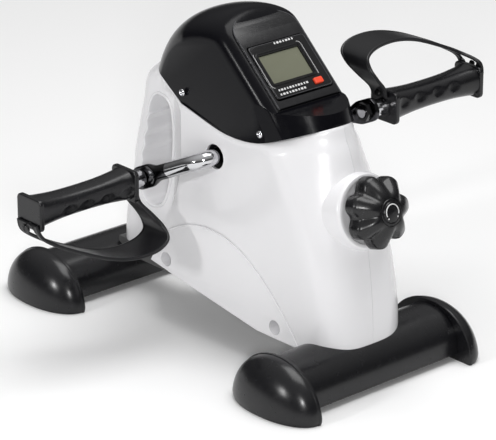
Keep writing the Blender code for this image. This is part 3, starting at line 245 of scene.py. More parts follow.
def ranged(tree, value, low, high, start=0.0, end=1.0):
    """A value mapped from start..end to low..high."""
    node = tree.nodes.new("ShaderNodeMapRange")
    node.inputs["From Min"].default_value = start
    node.inputs["From Max"].default_value = end
    node.inputs["To Min"].default_value = low
    node.inputs["To Max"].default_value = high
    link(tree, value, node.inputs["Value"])
    return node.outputs["Result"]


def relief(tree, height, depth):
    """A bump node that a pattern drives, of a depth in metres."""
    node = tree.nodes.new("ShaderNodeBump")
    node.inputs["Strength"].default_value = 1.0
    node.inputs["Distance"].default_value = depth
    link(tree, height, node.inputs["Height"])
    return node


def finish_material(name, colour, roughness, metallic=0.0, coat=0.0, specular=0.5, mottle=0.05,
                    mottle_scale=45.0, grain_scale=1500.0, grain=0.00002, roughness_change=0.06,
                    wear=None, stretch=None, waviness=0.0):
    """A moulded, painted or metal finish: mottled colour, uneven gloss, fine grain and worn edges."""
    material = bpy.data.materials.new(name)
    material.use_nodes = True
    tree = material.node_tree
    shader = tree.nodes["Principled BSDF"]
    place = tree.nodes.new("ShaderNodeTexCoord")
    low = tuple(channel * (1.0 - mottle) for channel in colour)
    high = tuple(min(channel * (1.0 + mottle), 1.0) for channel in colour)
    shade = mixed(tree, noise(tree, place, mottle_scale, 5.0, stretch), low, high)
    if wear:
        geometry = tree.nodes.new("ShaderNodeNewGeometry")
        edges = ranged(tree, geometry.outputs["Pointiness"], 0.0, 1.0, *WORN_POINTINESS)
        shade = mixed(tree, edges, shade, wear)
    link(tree, shade, shader.inputs["Base Color"])
    gloss = noise(tree, place, mottle_scale * 4.0, 4.0, stretch)
    link(tree, ranged(tree, gloss, roughness - roughness_change, roughness + roughness_change,
                      *GLOSS_NOISE),
         shader.inputs["Roughness"])
    bump = relief(tree, noise(tree, place, grain_scale, 2.0, stretch), grain)
    if waviness:
        wave = relief(tree, noise(tree, place, WAVE_SCALE, 1.0), waviness)
        link(tree, wave.outputs["Normal"], bump.inputs["Normal"])
    link(tree, bump.outputs["Normal"], shader.inputs["Normal"])
    shader.inputs["Metallic"].default_value = metallic
    shader.inputs["Specular IOR Level"].default_value = specular
    shader.inputs["Coat Weight"].default_value = coat
    shader.inputs["Coat Roughness"].default_value = COAT_ROUGHNESS
    return material


# Each finish: colour, roughness and what differs from the usual
FINISHES = {
    "white_plastic": ((0.80, 0.795, 0.81), 0.25, dict(
        coat=0.30, mottle=0.010, grain=0.000003, roughness_change=0.02, waviness=0.00004)),
    "black_satin": ((0.0060, 0.0060, 0.0072), 0.25, dict(
        specular=0.45, mottle=0.12, grain=0.000008, roughness_change=0.03)),
    "black_cover": ((0.0036, 0.0036, 0.0050), 0.20, dict(
        specular=0.14, mottle=0.12, grain=0.000006, roughness_change=0.03, waviness=0.00003)),
    "black_gloss": ((0.0050, 0.0050, 0.0056), 0.13, dict(
        coat=0.20, specular=0.30, mottle=0.10, grain=0.000004, roughness_change=0.03)),
    # A lighter grey for the cords along the console's and the meter's edges: a painted edge highlight.
    "painted_highlight_grey": ((0.050, 0.050, 0.055), 0.30, dict(mottle=0.20, mottle_scale=120.0, grain=0.000006)),
    "knob_black": ((0.0050, 0.0050, 0.0060), 0.27, dict(
        specular=0.50, mottle=0.10, grain=0.000004, roughness_change=0.03)),
    "lcd": ((0.150, 0.155, 0.108), 0.22, dict(
        specular=0.4, mottle=0.05, mottle_scale=25.0, grain=0.000002, coat=0.2)),
    "button_red": ((0.85, 0.065, 0.020), 0.32, dict(
        mottle=0.06, grain=0.000010, wear=(0.90, 0.20, 0.12))),
    "chrome": ((0.66, 0.66, 0.68), 0.09, dict(
        metallic=1.0, mottle=0.03, mottle_scale=90.0, grain=0.000002, roughness_change=0.03)),
    # A darker copy of the chrome, for the crank's flat ends: painted shade.
    "shaded_chrome": ((0.075, 0.075, 0.080), 0.16, dict(
        metallic=1.0, mottle=0.08, mottle_scale=90.0, grain=0.000002, roughness_change=0.03)),
    "steel": ((0.30, 0.30, 0.32), 0.36, dict(
        metallic=1.0, mottle=0.10, grain=0.000010, stretch=(1.0, 6.0, 1.0))),
    "frame_paint": ((0.012, 0.012, 0.014), 0.45, dict(
        specular=0.4, mottle=0.15, grain=0.00004, grain_scale=700.0, wear=(0.10, 0.10, 0.10))),
    "pulley_plastic": ((0.06, 0.06, 0.07), 0.42, dict(mottle=0.10, wear=(0.12, 0.12, 0.13))),
    "cast_iron": ((0.12, 0.12, 0.13), 0.55, dict(
        metallic=0.9, mottle=0.25, grain=0.00008, grain_scale=600.0)),
    "rubber": ((0.0080, 0.0080, 0.0092), 0.34, dict(
        specular=0.36, mottle=0.12, grain=0.000010, grain_scale=900.0, roughness_change=0.04)),
    "felt": ((0.22, 0.21, 0.19), 0.92, dict(
        mottle=0.25, mottle_scale=300.0, grain=0.0002, grain_scale=1200.0)),
    # White print; the lines beside the meter's display also use it as a painted reflection.
    "white_ink_and_painted_reflection": ((0.70, 0.70, 0.70), 0.45, dict(mottle=0.05, mottle_scale=300.0)),
}


def make_materials():
    """One material for each finish."""
    return {name: finish_material(name, colour, roughness, **rest)
            for name, (colour, roughness, rest) in FINISHES.items()}


# ---------------------------------------------------------------- shape tools

def placed(name, data):
    """A new object in the scene."""
    piece = bpy.data.objects.new(name, data)
    bpy.context.scene.collection.objects.link(piece)
    return piece


def object_from(name, bm):
    """The bmesh as a smooth-shaded object."""
    mesh = bpy.data.meshes.new(name)
    bm.to_mesh(mesh)
    bm.free()
    return smoothed(placed(name, mesh))


def piece_from(name, bm):
    """The bmesh as an object, its double points merged and its faces turned outwards."""
    bmesh.ops.remove_doubles(bm, verts=bm.verts, dist=1e-6)
    bmesh.ops.recalc_face_normals(bm, faces=bm.faces)
    return object_from(name, bm)


def smoothed(piece, angle=32.0):
    """The piece shaded smooth, but for edges sharper than an angle in degrees."""
    piece.data.shade_smooth()
    piece.data.set_sharp_from_angle(angle=math.radians(angle))
    return piece


def applied(piece):
    """The piece with its modifiers, or its curve, made into a plain mesh in world space."""
    bpy.context.view_layer.update()
    shown = piece.evaluated_get(bpy.context.evaluated_depsgraph_get())
    mesh = bpy.data.meshes.new_from_object(shown)
    mesh.transform(piece.matrix_world)
    name = piece.name
    bpy.data.objects.remove(piece, do_unlink=True)
    mesh.name = name
    return smoothed(placed(name, mesh))


def surface(name, rows, around=False, ring=False, ends=False):
    """Faces through rows of points; around closes each row, ring joins the last row to the first."""
    bm = bmesh.new()
    loops = [[bm.verts.new(point) for point in row] for row in rows]
    count = len(loops[0])
    pairs = list(zip(loops, loops[1:])) + ([(loops[-1], loops[0])] if ring else [])
    for lower, upper in pairs:
        for i in range(count if around else count - 1):
            j = (i + 1) % count
            bm.faces.new((lower[i], lower[j], upper[j], upper[i]))
    if ends:
        bm.faces.new(loops[0])
        bm.faces.new(loops[-1])
    return piece_from(name, bm)


def joined(name, *pieces):
    """Several pieces as one object."""
    bm = bmesh.new()
    for piece in pieces:
        piece.data.transform(piece.matrix_world)
        bm.from_mesh(piece.data)
        bpy.data.objects.remove(piece, do_unlink=True)
    return object_from(name, bm)


def cut(piece, *tools, operation="DIFFERENCE"):
    """The piece with the tools cut away, or kept in common."""
    for tool in tools:
        modifier = piece.modifiers.new("Boolean", "BOOLEAN")
        modifier.operation = operation
        modifier.solver = "EXACT"
        modifier.object = tool
    made = applied(piece)
    for tool in tools:
        bpy.data.objects.remove(tool, do_unlink=True)
    return made


def mirrored(piece, name):
    """A copy of the piece on the other side of the middle plane."""
    bm = bmesh.new()
    bm.from_mesh(piece.data)
    bmesh.ops.scale(bm, vec=(-1.0, 1.0, 1.0), verts=bm.verts)
    return piece_from(name, bm)


def frame_along(foot, direction):
    """Placement with its local Z along a direction."""
    return Matrix.Translation(Vector(foot)) @ Vector(direction).to_track_quat("Z", "Y").to_matrix().to_4x4()


def turns(steps):
    """Angles once round."""
    return [math.tau * i / steps for i in range(steps)]


def signed_power(value, power):
    """The power of a number's size, with its sign kept."""
    return math.copysign(abs(value) ** power, value)


def neighbours(points, k):
    """The points after and before one of them, or itself at an end."""
    return points[min(k + 1, len(points) - 1)], points[max(k - 1, 0)]


def turned(name, profile, foot, direction, steps=64, ends=False):
    """A profile of (radius, height) turned about an axis."""
    place = frame_along(foot, direction)
    rows = []
    for radius, height in profile:
        rows.append([place @ Vector((radius * math.cos(turn), radius * math.sin(turn), height))
                     for turn in turns(steps)])
    return surface(name, rows, around=True, ends=ends)


def rod(name, start, end, radius, steps=48):
    """A round bar between two points."""
    start, end = Vector(start), Vector(end)
    length = (end - start).length
    return turned(name, ((radius, 0.0), (radius, length)), start, end - start, steps, ends=True)


def line_curve(name, dimensions, lines, closed):
    """A curve that runs straight between the points of each line."""
    curve = bpy.data.curves.new(name, "CURVE")
    curve.dimensions = dimensions
    curve.bevel_resolution = 3
    for points in lines:
        spline = curve.splines.new("POLY")
        spline.points.add(len(points) - 1)
        for target, point in zip(spline.points, points):
            target.co = (*Vector(point).to_3d(), 1.0)
        spline.use_cyclic_u = closed
    return curve


def plate(name, outlines, place, low, high, edge=0.0):
    """Flat outlines extruded along the local Z of a placement, with rounded edges."""
    curve = line_curve(name, "2D", outlines, True)
    curve.fill_mode = "BOTH"
    curve.extrude = (high - low) / 2 - edge
    curve.bevel_depth = edge
    curve.offset = -edge
    holder = placed(name, curve)
    holder.matrix_world = place @ Matrix.Translation((0.0, 0.0, (low + high) / 2))
    return applied(holder)


def bead(name, points, radius, closed=False):
    """A round cord along points."""
    curve = line_curve(name, "3D", [points], closed)
    curve.bevel_depth = radius
    curve.use_fill_caps = True
    return applied(placed(name, curve))


# Placement whose local X, Y, Z are world Y, Z, X
SIDE_PLACE = Matrix(((0, 0, 1, 0), (1, 0, 0, 0), (0, 1, 0, 0), (0, 0, 0, 1)))


def side_plate(name, outlines, x_low, x_high, edge=0.0):
    """Outlines in (Y, Z) extruded along X."""
    return plate(name, outlines, SIDE_PLACE, x_low, x_high, edge)


def smooth_line(points, between, closed=False):
    """Catmull-Rom points through a list of equal-length tuples."""
    count = len(points)
    line = []
    for k in range(count if closed else count - 1):
        before, first, second, after = (
            Vector(points[(k + step) % count] if closed else points[min(max(k + step, 0), count - 1)])
            for step in (-1, 0, 1, 2))
        for i in range(between):
            t = i / between
            line.append(0.5 * (2 * first + (second - before) * t
                               + (2 * before - 5 * first + 4 * second - after) * t ** 2
                               + (3 * first - before - 3 * second + after) * t ** 3))
    if not closed:
        line.append(Vector(points[-1]))
    return line


def resampled(points, count):
    """The line through the points, as evenly spaced points."""
    points = [Vector(point) for point in points]
    reach = [0.0]
    for first, second in zip(points, points[1:]):
        reach.append(reach[-1] + (second - first).length)
    line, k = [], 0
    for i in range(count):
        target = reach[-1] * i / (count - 1)
        while k < len(points) - 2 and reach[k + 1] < target:
            k += 1
        span = max(reach[k + 1] - reach[k], 1e-9)
        line.append(points[k].lerp(points[k + 1], (target - reach[k]) / span))
    return line


def softened(points, passes):
    """The line with its corners rounded; its ends stay."""
    for _ in range(passes):
        points = ([points[0]]
                  + [(a + 2 * b + c) / 4 for a, b, c in zip(points, points[1:], points[2:])]
                  + [points[-1]])
    return points


def arc(middle_y, middle_z, radius, start, end, steps):
    """Points along part of a circle."""
    angles = [start + (end - start) * i / steps for i in range(steps + 1)]
    return [(middle_y + radius * math.cos(a), middle_z + radius * math.sin(a)) for a in angles]


def rounded_rectangle(middle_u, middle_v, half_u, half_v, corner, steps=6):
    """Outline of a rectangle with round corners."""
    points = []
    for quarter, (sign_u, sign_v) in enumerate(((1, 1), (-1, 1), (-1, -1), (1, -1))):
        start = math.pi / 2 * quarter
        points += arc(middle_u + sign_u * (half_u - corner), middle_v + sign_v * (half_v - corner),
                      corner, start, start + math.pi / 2, steps)
    return points


def dress(piece, material, body, replaces=()):
    """Give the piece its finish, and say what it moves with and stands for."""
    piece.data.materials.clear()
    piece.data.materials.append(MATERIALS[material])
    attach(piece, body)
    if replaces:
        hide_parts(*replaces)
    return piece


# ---------------------------------------------------------------- outlines of the casing

def cover_edge_z(y):
    """Height of the line where the top cover meets the casing."""
    if y < COVER_FRONT_Y:
        return cover_edge_z(COVER_FRONT_Y) + NOSE_LIP_SLOPE * (COVER_FRONT_Y - y)
    if y > EDGE_STRAIGHT_Y:
        return cover_edge_z(EDGE_STRAIGHT_Y) + EDGE_SLOPE * (y - EDGE_STRAIGHT_Y)
    return EDGE_LOW_Z + EDGE_CURVE * (y - EDGE_LOW_Y) ** 2


def cover_taper(y):
    """Width of the top cover at a place along it, as a share of its full width."""
    behind = max(y - COVER_TAPER_Y, 0.0) / COVER_TAPER_LENGTH
    return 1.0 - COVER_TAPER * behind ** COVER_TAPER_POWER


def dome_radius(across):
    """The dome's radius about the crank at a distance across the cover: it is crowned."""
    return DOME_RADIUS - DOME_CROWN * (1 - math.sqrt(1 - (across / HALF_WIDTH) ** 2))


def rear_y(radius):
    """Where the cover's lower edge meets a dome of one radius, behind the crank."""
    low, high = 0.0, COVER_REAR_Y
    for _ in range(30):
        middle = (low + high) / 2
        if math.hypot(middle - CRANK.y, cover_edge_z(middle) - CRANK.z) < radius:
            low = middle
        else:
            high = middle
    return low


def rise(z):
    """Share of the casing's height, from its foot."""
    return max(z - RISE_FOOT_Z, 0.0) / RISE_HEIGHT


def side_rear_y(z):
    """The rear edge of the flat side at one height."""
    below = max(SIDE_REAR_TOP_Z - z, 0.0) / SIDE_REAR_HEIGHT
    return SIDE_REAR_Y + SIDE_REAR_LEAN * below ** SIDE_REAR_POWER


def tail_y(z):
    """The back of the handle at one height."""
    line = smooth_line(TAIL_PROFILE, 8)
    if z <= line[0].x:
        return line[0].y
    for first, second in zip(line, line[1:]):
        if z <= second.x:
            return first.y + (second.y - first.y) * (z - first.x) / (second.x - first.x)
    return line[-1].y


def front_line(z, rear):
    """Plan line from the middle of the nose round the ridge and along the flat side."""
    ridge = RIDGE_FOOT_Y + RIDGE_LEAN * rise(z) ** RIDGE_LEAN_POWER
    above = max(z - NOSE_LEAN_Z, 0.0) / NOSE_LEAN_HEIGHT
    nose = NOSE_FOOT_Y + NOSE_LEAN * above ** NOSE_LEAN_POWER
    ridge_x = RIDGE_X - RIDGE_NARROWING * rise(z) ** 2
    bluntness = BLUNTNESS - BLUNTNESS_LOSS * min(max(z - RISE_FOOT_Z, 0.0) / BLUNTNESS_HEIGHT, 1.0)
    line = []
    for i in range(NOSE_STEPS + 1):
        across = math.sin(i / NOSE_STEPS * math.pi / 2)
        line.append((-ridge_x * across, nose + (ridge - nose) * across ** bluntness))
    line += [(-HALF_WIDTH, ridge + RIDGE_ROUND), (-HALF_WIDTH, rear)]
    return softened(resampled(line, FRONT_COUNT), PLAN_SOFTENING)


def tail_line(z):
    """Plan line from the flat side's rear edge round the handle to its middle."""
    rear, tail = side_rear_y(z), tail_y(z)
    strip_end = max(STRIP_END_Y, rear + STRIP_LENGTH)
    line = resampled([(-HALF_WIDTH, rear), (-TAIL_HALF_WIDTH, strip_end)], STRIP_COUNT + 1)[1:]
    line += resampled([(-TAIL_HALF_WIDTH, strip_end), (-TAIL_HALF_WIDTH, tail - TAIL_ROUND)],
                      TAIL_COUNT + 1)[1:]
    for i in range(1, ROUND_COUNT + 1):
        turn = math.pi / 2 * i / ROUND_COUNT
        line.append(Vector((-TAIL_HALF_WIDTH * math.cos(turn),
                            tail - TAIL_ROUND + TAIL_ROUND * math.sin(turn))))
    return line


def top_line():
    """Where the casing's edge meets the top cover."""
    line = [Vector((x, y, cover_edge_z(y))) for x, y in front_line(NOSE_TOP_Z, SIDE_TOP_Y)]
    corners = [Vector((-HALF_WIDTH * cover_taper(y), y, cover_edge_z(y))) for y in TAIL_TOP_Y]
    for share in TAIL_TOP_SHARES:
        y = rear_y(dome_radius(HALF_WIDTH * share))
        corners.append(Vector((-HALF_WIDTH * share * cover_taper(y), y + TAIL_TOP_MARGIN, cover_edge_z(y))))
    line += resampled([line[-1], corners[0]], STRIP_COUNT + 1)[1:]
    smooth = smooth_line(corners, 12)
    half = len(smooth) // 2
    line += resampled(smooth[:half + 1], TAIL_COUNT + 1)[1:]
    line += resampled(smooth[half:], ROUND_COUNT + 1)[1:]
    return line


def bottom_z(index, y):
    """Height of the casing's foot at a point of its plan line."""
    sloped = min(max(BOTTOM_Z + BOTTOM_SLOPE * (y - BOTTOM_Y), BOTTOM_LOW_Z), BOTTOM_HIGH_Z)
    share = min(max(index - FRONT_COUNT + 1, 0) / STRIP_COUNT, 1.0)
    return sloped * (1 - share) + TAIL_BOTTOM_Z * share


def inset(row, distance):
    """A row of points moved inwards in plan, square to the row."""
    moved = []
    for i, point in enumerate(row):
        ahead, behind = neighbours(row, i)
        along = Vector((ahead.x - behind.x, ahead.y - behind.y, 0.0)).normalized()
        moved.append(point - Vector((-along.y, along.x, 0.0)) * distance)
    return moved


def casing_rows():
    """Rows of points up the left casing half, its upper edge rounded over."""
    lower_rows, upper_rows = 40, 18
    top = top_line()
    foot = front_line(PLAN_FOOT_Z, side_rear_y(PLAN_FOOT_Z)) + tail_line(PLAN_FOOT_Z)
    tail = FRONT_COUNT + STRIP_COUNT + TAIL_COUNT // 2
    plans = {}
    rows = [[] for _ in range(lower_rows + upper_rows + 1)]
    for index, corner in enumerate(top):
        z_top = corner.z - COVER_GAP
        z_low = bottom_z(index, foot[index].y)
        z_break = min(FLARE_FOOT_Z, z_top - FLARE_LEAST)
        heights = [z_low + (z_break - z_low) * k / lower_rows for k in range(lower_rows)]
        heights += [z_break + (z_top - z_break) * k / upper_rows for k in range(upper_rows + 1)]
        for k, z in enumerate(heights):
            key = round(z, 4)
            if key not in plans:
                plans[key] = front_line(key, side_rear_y(key)) + tail_line(key)
            x, y = plans[key][index]
            power = SIDE_FLARE if index < tail else TAIL_FLARE
            flare = max((z - z_break) / (z_top - z_break), 0.0) ** power
            rows[k].append(Vector((x + (corner.x - x) * flare, y + (corner.y - y) * flare, z)))
    rounded = []
    for row in rows:
        below = [corner.z - COVER_GAP - point.z for corner, point in zip(top, row)]
        moved = inset(row, LIP_INSET)
        shares = [1 - math.sqrt(1 - min(max(1 - gap / LIP_HEIGHT, 0.0), 1.0) ** 2) for gap in below]
        rounded.append([a.lerp(b, share) for a, b, share in zip(row, moved, shares)])
    for row in rounded:
        row[0].x = row[-1].x = -SEAM_GAP
    return rounded


def hole_line(grow):
    """Outline of the hand hole in (Y, Z), with finger bumps along the grip."""
    line = resampled(smooth_line(HAND_HOLE + HAND_HOLE[:1], 8), HOLE_POINTS)[:-1]
    middle = sum(line, Vector((0.0, 0.0))) / len(line)
    moved = []
    for i, point in enumerate(line):
        along = (line[(i + 1) % len(line)] - line[i - 1]).normalized()
        out = Vector((along.y, -along.x))
        if out.dot(point - middle) < 0:
            out = -out
        bump = 0.0
        if point.x > middle.x and abs(point.y - FINGER_Z) < 2 * FINGER_PITCH:
            bump = FINGER_DEPTH * (0.5 + 0.5 * math.cos(math.tau * (point.y - FINGER_Z) / FINGER_PITCH))
        moved.append(tuple(point + out * (grow - bump)))
    return moved


# ---------------------------------------------------------------- casing

def make_shells():
    """The two casing halves, each a thin wall with its holes cut through."""
    shell = surface("left_casing", casing_rows())
    solidify = shell.modifiers.new("Solidify", "SOLIDIFY")
    solidify.thickness = SHELL_WALL
    solidify.offset = -1.0
    shell = applied(shell)
    hole = side_plate("hole", [hole_line(0.001)], -CUT_REACH, 0.010)
    bore = rod("bore", (-CUT_REACH, CRANK.y, CRANK.z), (-0.030, CRANK.y, CRANK.z), CRANK_HOLE_RADIUS, 64)
    recesses = [rod("recess", (-0.060, y, z), (-0.040, y, z), RECESS_RADIUS) for y, z in SHELL_SCREWS]
    shell = cut(shell, hole, bore, *recesses)
    other = mirrored(shell, "right_casing")
    dress(shell, "white_plastic", "frame", replaces=("left_shell",))
    dress(other, "white_plastic", "frame", replaces=("right_shell",))


def make_grip_liner():
    """The wall through the hand hole, with a rounded lip on each side."""
    outer = TAIL_HALF_WIDTH
    steps = [(-outer + 0.002, 0.0030), (-outer - 0.0006, 0.0030), (-outer - 0.0012, 0.0022),
             (-outer - 0.0013, 0.0012), (-outer - 0.0009, 0.0004), (-outer, 0.0), (-outer + 0.004, -0.0002)]
    steps += [(0.0, -0.0002)]
    steps += [(-x, grow) for x, grow in steps[-2::-1]]
    rows = [[(x, y, z) for y, z in hole_line(grow)] for x, grow in steps]
    dress(surface("grip_liner", rows, around=True, ring=True), "white_plastic", "frame")


def make_side_panels():
    """The raised panel under an arch on each side of the casing."""
    arch = []
    for i in range(ARCH_STEPS + 1):
        y = ARCH_REAR_Y + (ARCH_FRONT_Y - ARCH_REAR_Y) * i / ARCH_STEPS
        arch.append((y, ARCH_TOP_Z - ARCH_CURVE * (y - ARCH_TOP_Y) ** 2))
    low = [(y, bottom_z(0, y) + 0.0008) for y in (-0.140, -0.110, -0.080, -0.040, 0.0, 0.040)]
    rear = [(side_rear_y(z) - 0.0012, z) for z in (0.070, 0.080, 0.090)]
    for side, word in SIDES:
        ends = sorted((side * (HALF_WIDTH - 0.001), side * (HALF_WIDTH + PANEL_PROUD)))
        panel = side_plate("panel", [arch[:-1] + low + rear], *ends, edge=PANEL_EDGE)
        holes = [rod("hole", (side * 0.040, y, z), (side * 0.060, y, z), RECESS_RADIUS)
                 for y, z in SHELL_SCREWS]
        ridge_x = side * (HALF_WIDTH + PANEL_PROUD - 0.0004)
        ridge = bead("ridge", [(ridge_x, y, z) for y, z in arch], 0.0010)
        dress(joined(f"{word}_side_panel", cut(panel, *holes), ridge), "white_plastic", "frame")


def make_screw_cups():
    """The lipped recess that each casing screw sits in."""
    radius, floor = RECESS_RADIUS, RECESS_X
    depth = HALF_WIDTH - floor
    profile = ((0.0026, 0.0), (radius - 0.0010, 0.0), (radius - 0.0004, 0.0008), (radius - 0.0002, depth),
               (radius + 0.0003, depth + 0.0010), (radius + 0.0010, depth + 0.0013),
               (radius + 0.0017, depth + 0.0009), (radius + 0.0018, depth - 0.001))
    for side, word in SIDES:
        for (y, z), end in zip(SHELL_SCREWS, ("front", "rear")):
            cup = turned(f"{word}_screw_cup_{end}", profile, (side * floor, y, z), (side, 0, 0), 40)
            dress(cup, "white_plastic", "frame")


def make_boss():
    """The round collar on the nose that the knob stands on."""
    profile = ((BOSS_RADIUS + 0.0006, -0.026), (BOSS_RADIUS, 0.0040), (BOSS_RADIUS - 0.0006, 0.0062),
               (BOSS_RADIUS - 0.0020, 0.0076), (BOSS_RADIUS - 0.0038, 0.0080), (BOSS_RADIUS - 0.0052, 0.0076),
               (BOSS_RADIUS - 0.0060, 0.0062), (BOSS_RADIUS - 0.0062, 0.0020), (0.0052, 0.0010))
    dress(turned("knob_collar", profile, KNOB_FOOT, KNOB_OUT, 96), "white_plastic", "frame")


def cover_edge(rear, steps=40):
    """The cover's lower edge in (Y, Z), from the front to a place behind the crank."""
    front = LEDGE_PLANS[0][1] - COVER_FRONT_MARGIN
    line = [(front, cover_edge_z(front))]
    for i in range(steps + 1):
        y = COVER_FRONT_Y + (rear - COVER_FRONT_Y) * i / steps
        line.append((y, cover_edge_z(y)))
    return line


def dome_outline(across, wall):
    """Side outline of the top cover in (Y, Z) at a distance across it, or of its inside."""
    beside = max(across - SLOPE_HALF_WIDTH, 0.0) / (HALF_WIDTH - SLOPE_HALF_WIDTH)
    shoulder = 1 - math.sqrt(1 - beside ** 2)
    radius = dome_radius(across) - wall
    rear = rear_y(radius)
    rear_angle = math.atan2(cover_edge_z(rear) - CRANK.z, rear - CRANK.y)
    lift = SLOPE_SHOULDER * shoulder + wall
    normal = Vector((-math.sin(SLOPE_ANGLE), math.cos(SLOPE_ANGLE)))
    foot = Vector((SLOPE_FOOT_Y - CRANK.y, SLOPE_FOOT_Z - CRANK.z))
    reach = foot.dot(normal) - lift
    meets = math.pi / 2 + SLOPE_ANGLE - math.acos(min(reach / radius, 1.0))
    ledge_z = LEDGE_Z - LEDGE_SHOULDER * shoulder - wall
    outline = arc(CRANK.y, CRANK.z, radius, rear_angle, meets, DOME_STEPS)
    on_slope = foot - normal * lift
    down = (ledge_z - CRANK.z - on_slope.y) / math.sin(SLOPE_ANGLE)
    end = on_slope + Vector((math.cos(SLOPE_ANGLE), math.sin(SLOPE_ANGLE))) * down
    corner = Vector((CRANK.y + end.x, CRANK.z + end.y))
    line = resampled(outline + [tuple(corner)], DOME_POINTS)
    line = softened(line[:-SHARP_POINTS], DOME_SOFTENING) + line[-SHARP_POINTS:]
    outline = [tuple(point) for point in line]
    below = INSIDE_MARGIN if wall else 0.0
    edge = cover_edge(rear)
    outline.append((edge[0][0], ledge_z))
    outline += [(y, z - below) for y, z in edge]
    return outline


def dome_body(name, wall):
    """The solid that the top cover's outside, or its inside, bounds."""
    steps = 20
    shares = [math.cos(math.pi / 2 * i / steps) for i in range(steps + 1)]
    shares += [-share for share in shares[-2::-1]]
    rows = []
    for share in shares:
        across = share * (HALF_WIDTH - wall)
        outline = dome_outline(abs(share) * HALF_WIDTH, wall)
        rows.append([(-across * cover_taper(y) * (1 - COVER_NARROWING), y, z) for y, z in outline])
    body = surface(name, rows, around=True, ends=True)
    low, high = LEDGE_PLANS
    heights = (PLAN_LOW_Z, low[0], high[0], PLAN_HIGH_Z)
    plans = [plan_row(height, plan, wall) for height, plan in zip(heights, (low, low, high, high))]
    return cut(body, surface("plans", plans, around=True, ends=True), operation="INTERSECT")


def plan_row(height, plan, wall):
    """The cover's plan outline at one height: flat sides, narrowing cheeks and a bowed front."""
    _, middle_y, corner_x, corner_y = plan
    middle_y, corner_x, corner_y = middle_y + wall, corner_x - wall, corner_y + wall
    side = HALF_WIDTH - wall + PLAN_MARGIN
    cheek = []
    for i in range(CHEEK_STEPS):
        share = i / CHEEK_STEPS
        cheek.append((-side + (side - corner_x) * share ** 2, corner_y + CHEEK_LENGTH * (1 - share)))
    front = []
    for i in range(FRONT_STEPS + 1):
        share = 2 * i / FRONT_STEPS - 1
        front.append((corner_x * share, middle_y + (corner_y - middle_y) * abs(share) ** LEDGE_BEND))
    outline = [(-side, COVER_REAR_Y)] + cheek + front
    outline += [(-x, y) for x, y in reversed(cheek)] + [(side, COVER_REAR_Y)]
    return [(x, y, height) for x, y in outline]


def slope_place():
    """Placement of the console face: X across, Y up the slope, Z out of the face, at its foot."""
    across = Vector((1.0, 0.0, 0.0))
    upslope = Vector((0.0, math.cos(SLOPE_ANGLE), math.sin(SLOPE_ANGLE)))
    turn = Matrix((across, upslope, across.cross(upslope))).transposed().to_4x4()
    return Matrix.Translation((0.0, SLOPE_FOOT_Y, SLOPE_FOOT_Z)) @ turn


def make_cover():
    """The hollow top cover, with the window that the meter stands in."""
    cover = dome_body("cover", 0.0)
    inside = dome_body("inside", DOME_WALL)
    window = plate("window", [rounded_rectangle(0, METER_MIDDLE_V, METER_HALF.x, METER_HALF.y, 0.002)],
                   slope_place(), -0.020, 0.020)
    cover = cut(cover, inside, window)
    cover.name = "cover_shell"
    dress(cover, "black_cover", "frame", replaces=("top_cover",))


# ---------------------------------------------------------------- console

def face_outline(u, v, half, corner, grow=0.0, steps=6):
    """A rounded rectangle on the console face, placed from the meter's middle."""
    return rounded_rectangle(u, METER_MIDDLE_V + v, half.x + grow, half.y + grow, corner, steps)


def make_console():
    """The raised plate round the meter, and a lighter grey cord along its edge: a painted edge highlight."""
    place = slope_place()
    arch = [(-PANEL_HALF_WIDTH, PANEL_FOOT_V), (PANEL_HALF_WIDTH, PANEL_FOOT_V)]
    for i in range(49):
        turn = math.pi * i / 48
        arch.append((PANEL_HALF_WIDTH * math.cos(turn),
                     PANEL_LENGTH - PANEL_ARCH_RISE * (1 - math.sin(turn))))
    panel = plate("console_face", [arch], place, -0.0025, PANEL_THICKNESS, 0.0010)
    window = plate("window", [rounded_rectangle(0, METER_MIDDLE_V, METER_HALF.x + 0.0005,
                                                METER_HALF.y + 0.0012, 0.003)], place, -0.02, 0.02)
    panel = cut(panel, window)
    panel.name = "console_face"
    rim = [place @ Vector((u * 0.985, v, PANEL_THICKNESS - 0.0002)) for u, v in arch[1:] + arch[:1]]
    bend_console(panel, place)
    dress(panel, "black_satin", "frame", replaces=("console_panel",))
    # The console's edge cord in lighter grey: a painted highlight.
    edge = bead("console_edge", rim, 0.0005)
    bend_console(edge, place)
    dress(edge, "painted_highlight_grey", "frame")


def bend_console(piece, place):
    """Curve the upper end of a console piece down to follow the dome."""
    bm = bmesh.new()
    bm.from_mesh(piece.data)
    upslope = (place.to_3x3() @ Vector((0.0, 1.0, 0.0))).normalized()
    for i in range(BEND_CUTS):
        across = place @ Vector((0.0, BEND_START_V + CUT_PITCH * i, 0.0))
        bmesh.ops.bisect_plane(bm, geom=bm.verts[:] + bm.edges[:] + bm.faces[:], plane_co=across,
                               plane_no=upslope)
    flat = place.inverted()
    for vert in bm.verts:
        local = flat @ vert.co
        local.z -= max(local.y - BEND_START_V, 0.0) ** 2 / (2 * BEND_RADIUS)
        vert.co = place @ local
    bm.to_mesh(piece.data)
    bm.free()


